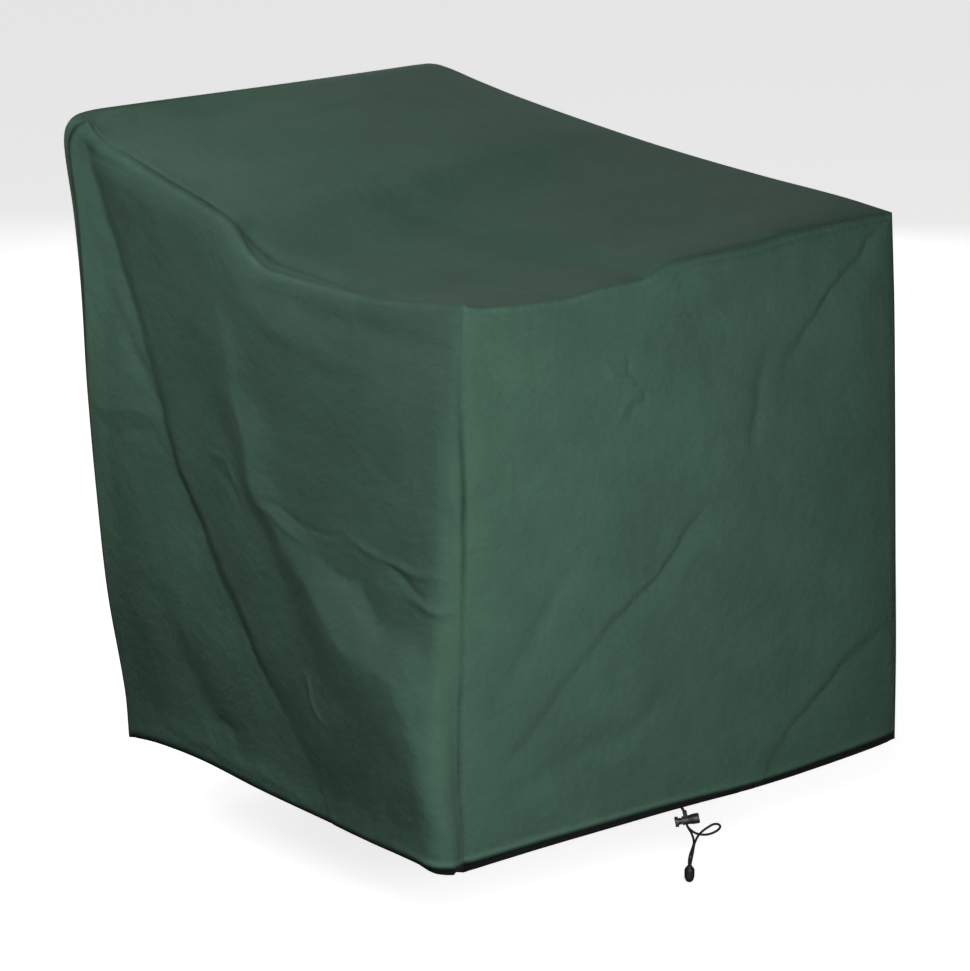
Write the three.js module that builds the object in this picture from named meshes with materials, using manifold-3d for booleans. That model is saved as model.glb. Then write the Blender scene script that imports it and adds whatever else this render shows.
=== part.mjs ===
import * as THREE from 'three';
import { mergeVertices } from 'three/addons/utils/BufferGeometryUtils.js';
import Module from 'manifold-3d';

// Fitted cover for a single armchair, in millimetres, +Z up.
// X runs across the front, -Y is the front, heights are above the hem's nominal level.

// Driving dimensions
const FRONT_HEIGHT = 700;
const BACK_HEIGHT = 793;
const TOP_WIDTH_FRONT = 700;
const TOP_WIDTH_BACK = 606;
const HEM_WIDTH = 760;
const HEM_DEPTH = 650;
const BACK_OVERHANG = 210;
const SHEET = 2;
const PANEL_GAP = 0.3;
const HEM_CURL_HEIGHT = 12;
const HEM_RIDGE = 1.8;
const HEM_RIDGE_REACH = 6;
const HEM_END_REACH = 8;

// How far from a seam its broad roll, its tight roll, and the calming of folds and swells reach
const SEAM_ROLL_REACH = 22;
const SEAM_TIGHT_REACH = 6;
const SEAM_CALM_REACH = 20;
const SWELL_CALM_REACH = 100;

// Shape of a fold's section: how softly it runs out, how round its top is, and how its stretches blend
const CREASE_END = 0.18;
const CREST_ROUND = 0.16;
const LINE_BLEND = 3;
const FAR_BLEND = 0.25;

// Height of the part's origin: the cover is held under the middle of its top
const SUPPORT_HEIGHT = 702;

const FRONT_Y = -HEM_DEPTH / 2 - 2;
const BACK_Y = HEM_DEPTH / 2 - 3;
const TOP_BACK_Y = BACK_Y + BACK_OVERHANG;

const GREEN = { color: 0x3a5546, roughness: 0.62, metalness: 0 };
const BLACK = { color: 0x17181a, roughness: 0.45, metalness: 0 };
const CORD_BLACK = { color: 0x141516, roughness: 0.9, metalness: 0 };

// Corners of the cover; columns: x, y, z
const CORNERS = {
  hemFrontLeft: [-HEM_WIDTH / 2 + 28, FRONT_Y, 0.5],
  hemFrontRight: [HEM_WIDTH / 2 + 9, FRONT_Y + 1, 3],
  hemBackLeft: [-HEM_WIDTH / 2 - 3, BACK_Y, 6],
  hemBackRight: [HEM_WIDTH / 2, BACK_Y + 3, 0],
  topFrontLeft: [-TOP_WIDTH_FRONT / 2, FRONT_Y, FRONT_HEIGHT],
  topFrontRight: [TOP_WIDTH_FRONT / 2 + 7, FRONT_Y + 2, FRONT_HEIGHT + 13],
  topBackLeft: [-TOP_WIDTH_BACK / 2, TOP_BACK_Y - 35, BACK_HEIGHT],
  topBackRight: [TOP_WIDTH_BACK / 2, TOP_BACK_Y + 2, BACK_HEIGHT - 2],
};

// How far a corner's inner side lies from its outer side; columns: x, y, z
const CORNER_INWARD = {
  hemFrontLeft: [SHEET, SHEET, 0],
  hemFrontRight: [-SHEET, SHEET, 0],
  hemBackLeft: [SHEET, -SHEET, 0],
  hemBackRight: [-SHEET, -SHEET, 0],
  topFrontLeft: [SHEET, SHEET, -SHEET],
  topFrontRight: [-SHEET, SHEET, -SHEET],
  topBackLeft: [SHEET, -SHEET, -SHEET],
  topBackRight: [-SHEET, -SHEET, -SHEET],
};

// Seams and hem stretches between two corners. Each bend row says how far the real line
// leaves the straight one; columns: fraction of the way, across, back, up
const EDGES = {
  seamFrontLeft: {
    from: 'hemFrontLeft', to: 'topFrontLeft', inward: [SHEET, SHEET, 0],
    bends: [[0.06, -1, -2, 0], [0.1, -4, -2, 0], [0.15, -8, -2, 0], [0.22, -10, -3, 0], [0.3, -9, -3, 0],
      [0.38, -6, -3, 0], [0.5, -4.5, -3, 0], [0.62, -3, -3, 0], [0.73, -3.5, -2, 0], [0.8, -6.5, -2, 0],
      [0.86, -7, -2, 0], [0.93, -4, -1, 0]],
  },
  seamFrontRight: {
    from: 'hemFrontRight', to: 'topFrontRight', inward: [-SHEET, SHEET, 0],
    bends: [[0.18, 1.4, -2, -2], [0.37, 0.5, -3, 0], [0.65, 1, -3, 2], [0.84, 1.5, -2, 1]],
  },
  seamBackLeft: {
    from: 'hemBackLeft', to: 'topBackLeft', inward: [SHEET, -SHEET, 0],
    bends: [[0.08, 0, 2, -4], [0.25, -14, 6, -9], [0.42, -17, 11, -16], [0.58, -16, 17, -14],
      [0.74, -9, 22, -14], [0.86, -6, 28, -13], [0.93, -9, 32, -1], [0.96, -10, 29, 3], [0.985, -7, 17, 2]],
  },
  seamBackRight: {
    from: 'hemBackRight', to: 'topBackRight', inward: [-SHEET, -SHEET, 0],
    bends: [[0.3, 9, -3, 0], [0.6, 7, 0, 0], [0.85, 3, 5, 6], [0.96, 1, 6, 5]],
  },
  seamTopFront: {
    from: 'topFrontLeft', to: 'topFrontRight', inward: [0, SHEET, -SHEET],
    bends: [[0.037, 0, -1, -8], [0.217, 0, -3, -18], [0.3, 0, -4, -15], [0.35, 0, -4, -15],
      [0.395, 0, -4, -15], [0.432, 0, -4, -7], [0.467, 0, -4, -1],
      [0.64, 0, -4, -2], [0.73, -1, -3, 2], [0.85, -2, -2, 2]],
  },
  seamTopLeft: {
    from: 'topFrontLeft', to: 'topBackLeft', inward: [SHEET, 0, -SHEET],
    bends: [[0.1, -1, 1, -21], [0.2, -2, 3, -42], [0.31, -1, 6, -56], [0.42, 0, 9, -69],
      [0.485, 1, 10, -73], [0.525, 2, 11, -64], [0.57, 5, 13, -42], [0.63, 8, 15, -34],
      [0.74, 11, 18, -30], [0.87, 13, 24, -23], [0.93, 12, 21, -23], [0.97, 5, 10, -14]],
  },
  seamTopRight: {
    from: 'topFrontRight', to: 'topBackRight', inward: [-SHEET, 0, -SHEET],
    bends: [[0.1, 0, -4, 0], [0.26, 0, -2, -5], [0.43, 0, -4, -8], [0.6, 0, 0, -7],
      [0.77, 0, 10, -2], [0.86, 0, 6, 2], [0.95, 0, 4, 7]],
  },
  seamTopBack: {
    from: 'topBackLeft', to: 'topBackRight', inward: [0, -SHEET, -SHEET],
    bends: [[0.025, -10, 15, 4], [0.07, -15, 34, 5], [0.15, -8, 36, 5], [0.5, 0, 25, 4],
      [0.85, 8, 10, 4], [0.97, 7, 5, 3]],
  },
  hemFront: {
    from: 'hemFrontLeft', to: 'hemFrontRight', inward: [0, SHEET, 0],
    bends: [[0.05, 0.2, -1.2, 2.4], [0.1, 0.5, -2.2, 3.3], [0.15, 1, -3, 3.7], [0.22, 1.6, -4, 3.6],
      [0.32, 2, -5, 2.9], [0.42, 0.9, -5.7, 2.2], [0.5, 0, -6, 0.8], [0.65, 0, -6, -2.1], [0.8, 0, -4, -1.9]],
  },
  hemLeft: {
    from: 'hemFrontLeft', to: 'hemBackLeft', inward: [SHEET, 0, 0],
    bends: [[0.035, -25, -22, 5.7], [0.055, -33, -29, 8.6], [0.09, -34, -26, 13], [0.2, -31, -8, 11.4],
      [0.35, -24, 0, 7.6], [0.55, -17, 0, 8.5], [0.75, -9, 0, 12.4], [0.9, -4, 0, 8.6]],
  },
  hemRight: {
    from: 'hemFrontRight', to: 'hemBackRight', inward: [-SHEET, 0, 0],
    bends: [[0.25, 4, 4, 4], [0.5, 3, 0, 10], [0.75, 2, 3, 8]],
  },
  hemBack: {
    from: 'hemBackLeft', to: 'hemBackRight', inward: [0, -SHEET, 0],
    bends: [[0.25, 0, 5, -3], [0.5, 0, 6, -6], [0.75, 0, 4, 1]],
  },
};

// Sample places along the three directions, as fractions; close together at rolled edges
const ACROSS = spread(24, 0.4);
const DEEP = spread(28, 0.4);
const HIGH = [0, 0.01, 0.03, ...spread(23, 0.25).slice(1, -1).map((f) => 0.03 + 0.97 * f), 0.985, 1];

// Panels. width and height are the flat sizes that fold places are given in.
// outward is the turn that makes the normal face out. rolls say how far the cloth rolls up from each
// seam, broadly and tightly. A soft fold is rounded; a crease has straight sides and a sharp line; a
// round one has straight sides and a rounded line.
// Fold rows; columns: along from the start edge, up from the lower edge, height out of the cloth
// (below zero for a trough), reach to the left of the line, reach to the right
const PANELS = {
  front_panel: {
    lower: 'hemFront', upper: 'seamTopFront', start: 'seamFrontLeft', end: 'seamFrontRight',
    width: 735, height: 710, along: ACROSS, up: HIGH, outward: 1, curl: 2,
    rolls: { start: [5, 1], end: [5, 1], upper: [4, 2.5] },
    folds: [
      ['corner ridge', 'crease', [
        [5, 606, 2.4, 8, 44], [50, 618, 3.6, 8, 56], [100, 634, 3.8, 8, 60], [163, 650, 3, 8, 50],
        [217, 656, 1, 8, 36],
      ]],
      ['right corner crease', 'crease', [
        [722, 702, 0, 8, 5], [689, 686, -4, 26, 9], [665, 658, -7, 38, 12], [613, 623, -8, 44, 15],
        [578, 594, -6, 40, 16], [555, 575, -5, 36, 16], [521, 546, -1.5, 30, 16],
      ]],
      ['short fall', 'soft', [
        [494, 578, -2, 15, 13], [477, 540, -4, 17, 13], [474, 514, -4.4, 17, 13],
        [466, 477, -4, 17, 13], [461, 439, -1.5, 16, 13],
      ]],
      ['long crease', 'crease', [
        [390, 402, 0, 10, 6], [371, 385, -2, 20, 7], [358, 372, -3.4, 26, 8], [342, 358, -4, 28, 8],
        [317, 331, -4.2, 30, 9], [272, 302, -4.2, 30, 10], [247, 286, -4, 30, 10],
        [223, 271, -3.8, 30, 12], [204, 255, -3.6, 32, 13], [190, 239, -3.4, 34, 14],
        [172, 222, -3.4, 34, 16], [129, 179, -3, 34, 18], [105, 157, -2.4, 32, 18],
        [64, 121, -1, 26, 16],
      ]],
      ['second crease', 'soft', [
        [173, 375, -1, 14, 12], [153, 352, -2.6, 15, 13], [129, 319, -3.2, 16, 14],
        [100, 271, -3, 18, 16], [50, 216, -1.4, 18, 16],
      ]],
      ['low soft', 'soft', [
        [342, 169, -1, 20, 20], [306, 153, -3, 22, 22], [265, 129, -4, 24, 24], [206, 120, -4, 24, 24],
        [144, 103, -3, 22, 22], [78, 78, -1.4, 20, 20],
      ]],
      ['right fall', 'crease', [
        [725, 160, 1, 60, 50], [697, 148, 2, 70, 60], [651, 142, 2.5, 80, 70], [595, 110, 2.5, 80, 70],
        [534, 71, 2, 70, 60], [490, 32, 1, 60, 50],
      ]],
      ['right fall edge', 'crease', [
        [708, 169, -1.4, 50, 8], [685, 164, -2.8, 60, 8], [662, 154, -3.6, 66, 9],
        [638, 146, -4, 70, 9], [616, 128, -4, 70, 9], [591, 110, -4, 70, 9], [561, 97, -3.8, 66, 9],
        [541, 78, -3.4, 60, 9], [524, 61, -3, 56, 9], [505, 48, -2.4, 50, 8], [494, 32, -1.6, 46, 8],
      ]],
    ],
    swells: [[380, 420, 240, 220, 6]],
  },
  left_panel: {
    lower: 'hemLeft', upper: 'seamTopLeft', start: 'seamFrontLeft', end: 'seamBackLeft',
    width: 740, height: 740, along: DEEP, up: HIGH, outward: -1, curl: 5,
    rolls: { start: [6, 1], end: [0, 1], upper: [3, 3.5] },
    folds: [
      ['corner crease', 'round', [
        [738, 739, 0, 8, 3], [710, 726, -8, 32, 40], [684, 700, -13, 56, 120],
        [673, 664, -14, 68, 180], [653, 615, -15, 86, 220], [632, 565, -15, 98, 250],
        [610, 515, -14.5, 105, 250], [586, 468, -14, 110, 250], [563, 414, -13, 112, 240],
        [538, 372, -11, 120, 200], [502, 328, -9, 140, 130], [457, 270, -8, 180, 84],
        [416, 224, -8, 200, 72], [360, 167, -7, 200, 68], [312, 119, -7, 200, 66],
        [271, 63, -5, 200, 60], [248, 20, -4, 200, 54],
      ]],
      ['corner line', 'crease', [
        [725, 733, 0, 5, 12], [703, 719, -2, 5, 16], [684, 700, -3, 6, 20], [673, 664, -4, 6, 24],
        [653, 615, -5, 7, 24], [632, 565, -5, 7, 22], [610, 515, -5.5, 8, 20], [588, 468, -6, 14, 19],
        [566, 414, -6.5, 24, 19], [542, 372, -7, 34, 20], [506, 328, -6.5, 40, 22],
        [463, 274, -5, 40, 22], [420, 228, -3.5, 40, 22], [364, 171, -2.5, 40, 22],
        [315, 122, -1, 40, 20],
      ]],
      ['front ridge', 'round', [
        [436, 645, 1, 60, 30], [431, 616, 3, 80, 36], [415, 582, 6, 90, 40], [409, 542, 8, 76, 44],
        [403, 526, 9, 64, 45], [387, 510, 10, 56, 50], [378, 488, 9, 50, 50], [369, 440, 8, 36, 50],
        [350, 423, 7, 28, 45], [328, 400, 7, 26, 45], [300, 372, 8, 34, 50], [276, 352, 10, 44, 54],
        [248, 330, 13, 60, 58], [220, 301, 15, 80, 60], [180, 270, 17, 100, 60],
        [128, 251, 19, 130, 60], [90, 238, 20, 160, 60], [67, 206, 20, 180, 54],
        [51, 156, 18, 190, 44], [42, 104, 15, 190, 38], [32, 69, 12, 180, 30], [25, 25, 9, 170, 25],
      ]],
      ['lit edge', 'crease', [
        [240, 393, 0, 20, 14], [225, 370, -3, 24, 24], [196, 359, -4, 26, 30], [168, 361, -4, 26, 34],
        [155, 343, -5, 28, 36], [141, 326, -5, 28, 36], [126, 311, -4, 26, 34], [104, 299, -2, 22, 28],
        [75, 302, 0, 18, 20],
      ]],
      ['crumple low', 'crease', [
        [128, 403, -1, 8, 9], [100, 386, -3.6, 10, 11], [80, 370, -4, 10, 11], [58, 360, -2, 9, 9],
      ]],
      ['step trough', 'soft', [
        [333, 706, -2, 18, 16], [208, 700, -3, 20, 18], [112, 696, -3, 20, 18], [30, 684, -2, 18, 16],
      ]],
      ['step ridge', 'soft', [
        [367, 690, 1, 16, 18], [326, 668, 2.4, 16, 26], [274, 662, 2.4, 16, 28], [205, 650, 2, 16, 28],
        [150, 640, 0.6, 16, 24],
      ]],
      ['back trough', 'soft', [
        [700, 340, -0.5, 30, 24], [657, 275, -1.5, 40, 32], [610, 198, -3, 46, 36],
        [575, 145, -4, 46, 36], [533, 94, -4, 42, 34], [482, 66, -2.4, 34, 28],
      ]],
      ['back pleat', 'soft', [
        [690, 572, -1, 13, 13], [668, 536, -2.6, 14, 13], [648, 508, -3.2, 14, 12],
        [620, 478, -2.8, 13, 12], [594, 446, -1, 12, 11],
      ]],
    ],
    swells: [[620, 250, 110, 140, 6], [170, 560, 150, 120, 5]],
  },
  right_panel: {
    lower: 'hemRight', upper: 'seamTopRight', start: 'seamFrontRight', end: 'seamBackRight',
    width: 740, height: 750, along: DEEP, up: HIGH, outward: 1, curl: 5,
    rolls: { start: [5, 1], end: [5, 1], upper: [4, 2] },
    folds: [
      ['corner crease', 'soft', [
        [725, 735, -1, 10, 10], [650, 640, -6, 30, 26], [560, 500, -9, 40, 32], [480, 360, -9, 44, 36],
        [400, 200, -7, 44, 36], [330, 60, -5, 40, 34],
      ]],
      ['front fall', 'soft', [
        [60, 690, 3, 24, 24], [110, 560, 7, 34, 34], [150, 400, 8, 40, 40], [170, 220, 6, 40, 40],
        [180, 60, 4, 36, 36],
      ]],
      ['middle fall', 'soft', [
        [330, 640, -2, 24, 24], [290, 500, -6, 32, 32], [270, 340, -6, 34, 34], [250, 180, -4, 34, 34],
      ]],
    ],
    swells: [[600, 200, 120, 150, 8], [330, 560, 150, 120, 6]],
  },
  back_panel: {
    lower: 'hemBack', upper: 'seamTopBack', start: 'seamBackLeft', end: 'seamBackRight',
    width: 690, height: 800, along: ACROSS, up: HIGH, outward: -1, curl: 5,
    rolls: { start: [5, 1], end: [5, 1], upper: [4, 2] },
    folds: [
      ['left fall', 'soft', [
        [90, 740, 2, 24, 24], [130, 560, 7, 36, 36], [160, 360, 9, 42, 42], [150, 180, 7, 42, 42],
        [140, 50, 5, 40, 40],
      ]],
      ['middle fall', 'soft', [
        [350, 640, -2, 26, 26], [340, 480, -7, 40, 40], [360, 300, -8, 44, 44], [350, 120, -6, 42, 42],
      ]],
      ['right fall', 'soft', [
        [600, 740, 2, 24, 24], [560, 540, 7, 36, 36], [540, 340, 8, 42, 42], [560, 160, 6, 40, 40],
      ]],
    ],
    swells: [[345, 600, 220, 120, -6]],
  },
  top_panel: {
    lower: 'seamTopFront', upper: 'seamTopBack', start: 'seamTopLeft', end: 'seamTopRight',
    width: 660, height: 860, along: ACROSS, up: DEEP, outward: 1, curl: 0,
    rolls: { start: [3, 1], end: [4, 2], upper: [4, 2], lower: [4, 1] },
    folds: [
      ['left trough', 'soft', [
        [4, 500, -3, 12, 12], [24, 465, -5, 13, 13], [40, 406, -6, 14, 14], [34, 290, -6, 13, 15],
        [30, 206, -5, 12, 15], [22, 103, -2.4, 10, 12],
      ]],
      ['seat light', 'soft', [
        [74, 367, 2, 20, 20], [119, 336, 3, 24, 24], [183, 281, 1, 20, 20],
      ]],
    ],
    swells: [[330, 700, 240, 110, 4], [330, 130, 220, 90, -4]],
  },
};

const vec = (x, y, z) => new THREE.Vector3(x, y, z);
const corner = (name) => vec(...CORNERS[name]);
const isHemmed = (panel) => !panel.rolls.lower;

// Fractions from 0 to 1 that draw closer together near both ends
function spread(count, ease) {
  const list = [];
  for (let i = 0; i <= count; i += 1) {
    const even = i / count;
    const eased = (1 - Math.cos(Math.PI * even)) / 2;
    list.push(even * (1 - ease) + eased * ease);
  }
  return list;
}

// Smooth value at place t of rows that start with their own place
function smoothRow(rows, t) {
  const last = rows.length - 1;
  let i = 0;
  while (i < last - 1 && t >= rows[i + 1][0]) i += 1;
  const slope = (k, c) => {
    const a = Math.max(k - 1, 0);
    const b = Math.min(k + 1, last);
    return (rows[b][c] - rows[a][c]) / (rows[b][0] - rows[a][0]);
  };
  const step = rows[i + 1][0] - rows[i][0];
  const s = (t - rows[i][0]) / step;
  const s2 = s * s;
  const s3 = s2 * s;
  const result = [];
  for (let c = 1; c < rows[0].length; c += 1) {
    result.push((2 * s3 - 3 * s2 + 1) * rows[i][c] + (s3 - 2 * s2 + s) * step * slope(i, c)
      + (3 * s2 - 2 * s3) * rows[i + 1][c] + (s3 - s2) * step * slope(i + 1, c));
  }
  return result;
}

function edgePoint(edge, t) {
  const rows = [[0, 0, 0, 0], ...edge.bends, [1, 0, 0, 0]];
  const straight = corner(edge.from).lerp(corner(edge.to), t);
  return straight.add(vec(...smoothRow(rows, t)));
}

// The inner side of a shared edge: full thickness along it, blended into its corners
function edgeInner(edge, t) {
  const blend = 0.04;
  const inward = vec(...edge.inward);
  if (t < blend) inward.lerp(vec(...CORNER_INWARD[edge.from]), 1 - t / blend);
  if (t > 1 - blend) inward.lerp(vec(...CORNER_INWARD[edge.to]), 1 - (1 - t) / blend);
  return edgePoint(edge, t).add(inward);
}

// Surface stretched between a panel's four edges
function stretched(panel, u, v) {
  const lower = EDGES[panel.lower];
  const upper = EDGES[panel.upper];
  const start = EDGES[panel.start];
  const end = EDGES[panel.end];
  const point = edgePoint(lower, u).multiplyScalar(1 - v);
  point.addScaledVector(edgePoint(upper, u), v);
  point.addScaledVector(edgePoint(start, v), 1 - u);
  point.addScaledVector(edgePoint(end, v), u);
  point.addScaledVector(corner(lower.from), -(1 - u) * (1 - v));
  point.addScaledVector(corner(lower.to), -u * (1 - v));
  point.addScaledVector(corner(upper.from), -(1 - u) * v);
  point.addScaledVector(corner(upper.to), -u * v);
  return point;
}

function stretchedNormal(panel, u, v) {
  const step = 0.004;
  const u0 = Math.max(u - step, 0);
  const u1 = Math.min(u + step, 1);
  const v0 = Math.max(v - step, 0);
  const v1 = Math.min(v + step, 1);
  const along = stretched(panel, u1, v).sub(stretched(panel, u0, v));
  const up = stretched(panel, u, v1).sub(stretched(panel, u, v0));
  return along.cross(up).normalize().multiplyScalar(panel.outward);
}

// Height of a fold's section: one on its line, nothing at its reach and beyond
function section(form, place) {
  if (form === 'soft') return Math.exp(-(place ** 2));
  const t = form === 'round' ? Math.hypot(place, CREST_ROUND) - CREST_ROUND : place;
  return (1 - t + Math.hypot(1 - t, CREASE_END)) / (1 + Math.hypot(1, CREASE_END));
}

// Height of one fold at a place of the flat panel: its line's stretches, blended by how near they are
function foldHeight([, form, rows], a, b) {
  const places = rows.map((row, i) => [i, ...row]);
  const steps = 5 * (rows.length - 1);
  const stretches = [];
  let previous = smoothRow(places, 0);
  for (let i = 1; i <= steps; i += 1) {
    const next = smoothRow(places, (i / steps) * (rows.length - 1));
    const dx = next[0] - previous[0];
    const dy = next[1] - previous[1];
    const along = ((a - previous[0]) * dx + (b - previous[1]) * dy) / (dx * dx + dy * dy);
    const s = Math.min(Math.max(along, 0), 1);
    const [, , height, reachLeft, reachRight] = previous.map((value, k) => value + s * (next[k] - value));
    const offX = a - previous[0] - s * dx;
    const offY = b - previous[1] - s * dy;
    const distance = Math.hypot(offX, offY);
    const reach = dx * offY - dy * offX > 0 ? reachLeft : reachRight;
    stretches.push([distance, height * section(form, distance / reach)]);
    previous = next;
  }
  const nearest = Math.min(...stretches.map(([distance]) => distance));
  let total = 0;
  let sum = 0;
  for (const [distance, height] of stretches) {
    const weight = Math.exp((nearest - distance) / (LINE_BLEND + FAR_BLEND * nearest));
    total += weight;
    sum += weight * height;
  }
  return sum / total;
}

// Height of one broad swell; columns: along, up, reach along, reach up, height
function swellHeight([x, y, reachX, reachY, height], a, b) {
  return height * Math.exp(-(((a - x) / reachX) ** 2) - (((b - y) / reachY) ** 2));
}

function eased(place) {
  const t = Math.min(Math.max(place, 0), 1);
  return t * t * (3 - 2 * t);
}

// How far the cloth stands out of its stretched surface; nothing at the shared seams
function reliefHeight(panel, u, v) {
  const a = u * panel.width;
  const b = v * panel.height;
  const distances = { start: a, end: panel.width - a, upper: panel.height - b, lower: b };
  let total = 0;
  let broad = 0;
  let tight = 0;
  let fromSeam = Infinity;
  for (const [side, [broadRoll, tightRoll]] of Object.entries(panel.rolls)) {
    const closeness = 1 / (distances[side] + 1) ** 2;
    total += closeness;
    broad += closeness * broadRoll;
    tight += closeness * tightRoll;
    fromSeam = Math.min(fromSeam, distances[side]);
  }
  let height = (broad / total) * (1 - Math.exp(-fromSeam / SEAM_ROLL_REACH));
  height += (tight / total) * (1 - Math.exp(-fromSeam / SEAM_TIGHT_REACH));
  for (const fold of panel.folds) height += eased(fromSeam / SEAM_CALM_REACH) * foldHeight(fold, a, b);
  for (const swell of panel.swells) height += eased(fromSeam / SWELL_CALM_REACH) * swellHeight(swell, a, b);
  if (isHemmed(panel)) {
    const fromEnd = Math.min(Math.min(a, panel.width - a) / HEM_END_REACH, 1);
    height -= fromEnd * panel.curl * Math.max(1 - b / HEM_CURL_HEIGHT, 0) ** 2;
    height += fromEnd * HEM_RIDGE * Math.exp(-(((b - HEM_CURL_HEIGHT) / HEM_RIDGE_REACH) ** 2));
  }
  return height;
}

const gridOf = (panel, make) => panel.along.map((u) => panel.up.map((v) => make(u, v)));

// Outer points of a panel
function outerGrid(panel) {
  return gridOf(panel, (u, v) => stretched(panel, u, v)
    .addScaledVector(stretchedNormal(panel, u, v), reliefHeight(panel, u, v)));
}

// Inner points: the cloth's thickness behind the outer ones, and the shared line at seams
function innerGrid(panel, outer) {
  const lastU = panel.along.length - 1;
  const lastV = panel.up.length - 1;
  return outer.map((column, i) => column.map((point, j) => {
    const u = panel.along[i];
    const v = panel.up[j];
    if (i === 0) return edgeInner(EDGES[panel.start], v);
    if (i === lastU) return edgeInner(EDGES[panel.end], v);
    if (j === lastV) return edgeInner(EDGES[panel.upper], u);
    if (j === 0 && !isHemmed(panel)) return edgeInner(EDGES[panel.lower], u);
    const along = outer[i + 1][j].clone().sub(outer[i - 1][j]);
    const up = column[Math.min(j + 1, lastV)].clone().sub(column[Math.max(j - 1, 0)]);
    const normal = along.cross(up).normalize().multiplyScalar(panel.outward);
    return point.clone().addScaledVector(normal, -SHEET);
  }));
}

// Draws a panel's rim back from its seams, so that neighbours stay apart
function drawBack(panel, grid) {
  const lastU = panel.along.length - 1;
  const lastV = panel.up.length - 1;
  const pull = PANEL_GAP * 0.75;
  const moved = grid.map((column) => column.map((point) => point.clone()));
  const towards = (i, j, i2, j2) => {
    const way = grid[i2][j2].clone().sub(grid[i][j]).normalize();
    moved[i][j].addScaledVector(way, pull);
  };
  for (let j = 0; j <= lastV; j += 1) {
    towards(0, j, 1, j);
    towards(lastU, j, lastU - 1, j);
  }
  for (let i = 0; i <= lastU; i += 1) {
    towards(i, lastV, i, lastV - 1);
    if (!isHemmed(panel)) towards(i, 0, i, 1);
  }
  return moved;
}

// Closed sheet between two grids of points
function closedSheet(outer, inner, outward) {
  const rows = outer[0].length;
  const columns = outer.length;
  const positions = [];
  for (const grid of [outer, inner]) {
    for (const p of grid.flat()) positions.push(p.x, p.y, p.z);
  }
  const at = (side, i, j) => side * rows * columns + i * rows + j;
  const indices = [];
  const quad = (a, b, c, d) => {
    if (outward > 0) indices.push(a, b, c, a, c, d);
    else indices.push(a, c, b, a, d, c);
  };
  for (let i = 0; i + 1 < columns; i += 1) {
    for (let j = 0; j + 1 < rows; j += 1) {
      quad(at(0, i, j), at(0, i + 1, j), at(0, i + 1, j + 1), at(0, i, j + 1));
      quad(at(1, i, j), at(1, i, j + 1), at(1, i + 1, j + 1), at(1, i + 1, j));
    }
    quad(at(0, i, 0), at(1, i, 0), at(1, i + 1, 0), at(0, i + 1, 0));
    quad(at(0, i, rows - 1), at(0, i + 1, rows - 1), at(1, i + 1, rows - 1), at(1, i, rows - 1));
  }
  for (let j = 0; j + 1 < rows; j += 1) {
    quad(at(0, 0, j), at(0, 0, j + 1), at(1, 0, j + 1), at(1, 0, j));
    quad(at(0, columns - 1, j), at(1, columns - 1, j), at(1, columns - 1, j + 1), at(0, columns - 1, j + 1));
  }
  const geometry = new THREE.BufferGeometry();
  geometry.setAttribute('position', new THREE.Float32BufferAttribute(positions, 3));
  geometry.setIndex(indices);
  geometry.computeVertexNormals();
  return geometry;
}

function named(name, geometry, look) {
  const mesh = new THREE.Mesh(geometry, new THREE.MeshStandardMaterial(look));
  mesh.name = name;
  return mesh;
}

function makePanel(name) {
  const panel = PANELS[name];
  const outer = outerGrid(panel);
  const inner = innerGrid(panel, outer);
  return named(name, closedSheet(drawBack(panel, outer), drawBack(panel, inner), panel.outward), GREEN);
}

// Drawcord with its lock and end, hanging at the middle of the front hem.
// Its own axes: x across, -y towards the front left, z up, turned about the upright.
const CORD_DIAMETER = 3;
const CORD_SIDES = 8;
const CORD_TURN = THREE.MathUtils.degToRad(-40);
const CORD_PLACE = [-1.3, -336.2, 3.4];
const TOUCH = 0.3;
const STRAND_APART = 1.7;
const HEM_UNDERSIDE = -0.6;

const LOCK = {
  headRadius: 6.6, headLength: 4.4, stemRadius: 4.3, stemEnd: 22, boreRadius: 4.8, boreEnd: 27,
  barrelStart: 9, barrelEnd: 31, barrelRadius: 6.6, neckRadius: 5.6, cordAt: 14.2, bossHeight: 12,
};
const LOCK_LEFT = [-9.4, 0, -20.5];
const LOCK_TILT = THREE.MathUtils.degToRad(-11);
const PLUNGER_TRAVEL = 4;

// Cord routes under the lock; columns: across, towards the back, up
const STRAIGHT_STRAND = [
  [5.6, 1.7, -23.9], [6.5, 1.7, -27], [8.6, 1.8, -30.8], [10.8, 1.8, -34.4], [12.7, 1.8, -38.8],
  [14.2, 1.8, -43.8], [14.7, 1.8, -49.2], [13.3, 1.8, -55.2], [11.2, 1.6, -61.2], [9.5, 1.2, -67.7],
  [8.9, 1.3, -73.8], [9.1, 1.6, -78],
];
const LOOPED_STRAND = [
  [5.6, -1.7, -23.9], [7.2, -1.7, -26.8], [10, -1.8, -29.8], [13.3, -1.8, -32.6], [17.5, -1.8, -34.8],
  [22.8, -1.6, -36.3], [29.1, -1.4, -36.7], [35.4, -1.6, -35.3], [41.2, -2.8, -32.2],
  [45.5, -5.6, -27.6], [46.8, -9.6, -22.4], [43.6, -13.2, -18.2], [37.7, -15.4, -17.7],
  [31.6, -15, -21.4], [26.4, -13, -26], [22.2, -10.4, -31.1], [18.8, -7.4, -37.1], [16.6, -4.8, -43.4],
  [15.1, -3.2, -48.9], [14.3, -2.2, -54.3], [13.6, -1.8, -59.9], [12.5, -1.4, -66.7],
  [11.4, -1.4, -72.8], [10.4, -1.6, -78],
];
const CORD_END = { place: [9.7, 0, -78.5], length: 21.5, topRadius: 3.4, widest: 6.4 };

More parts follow.
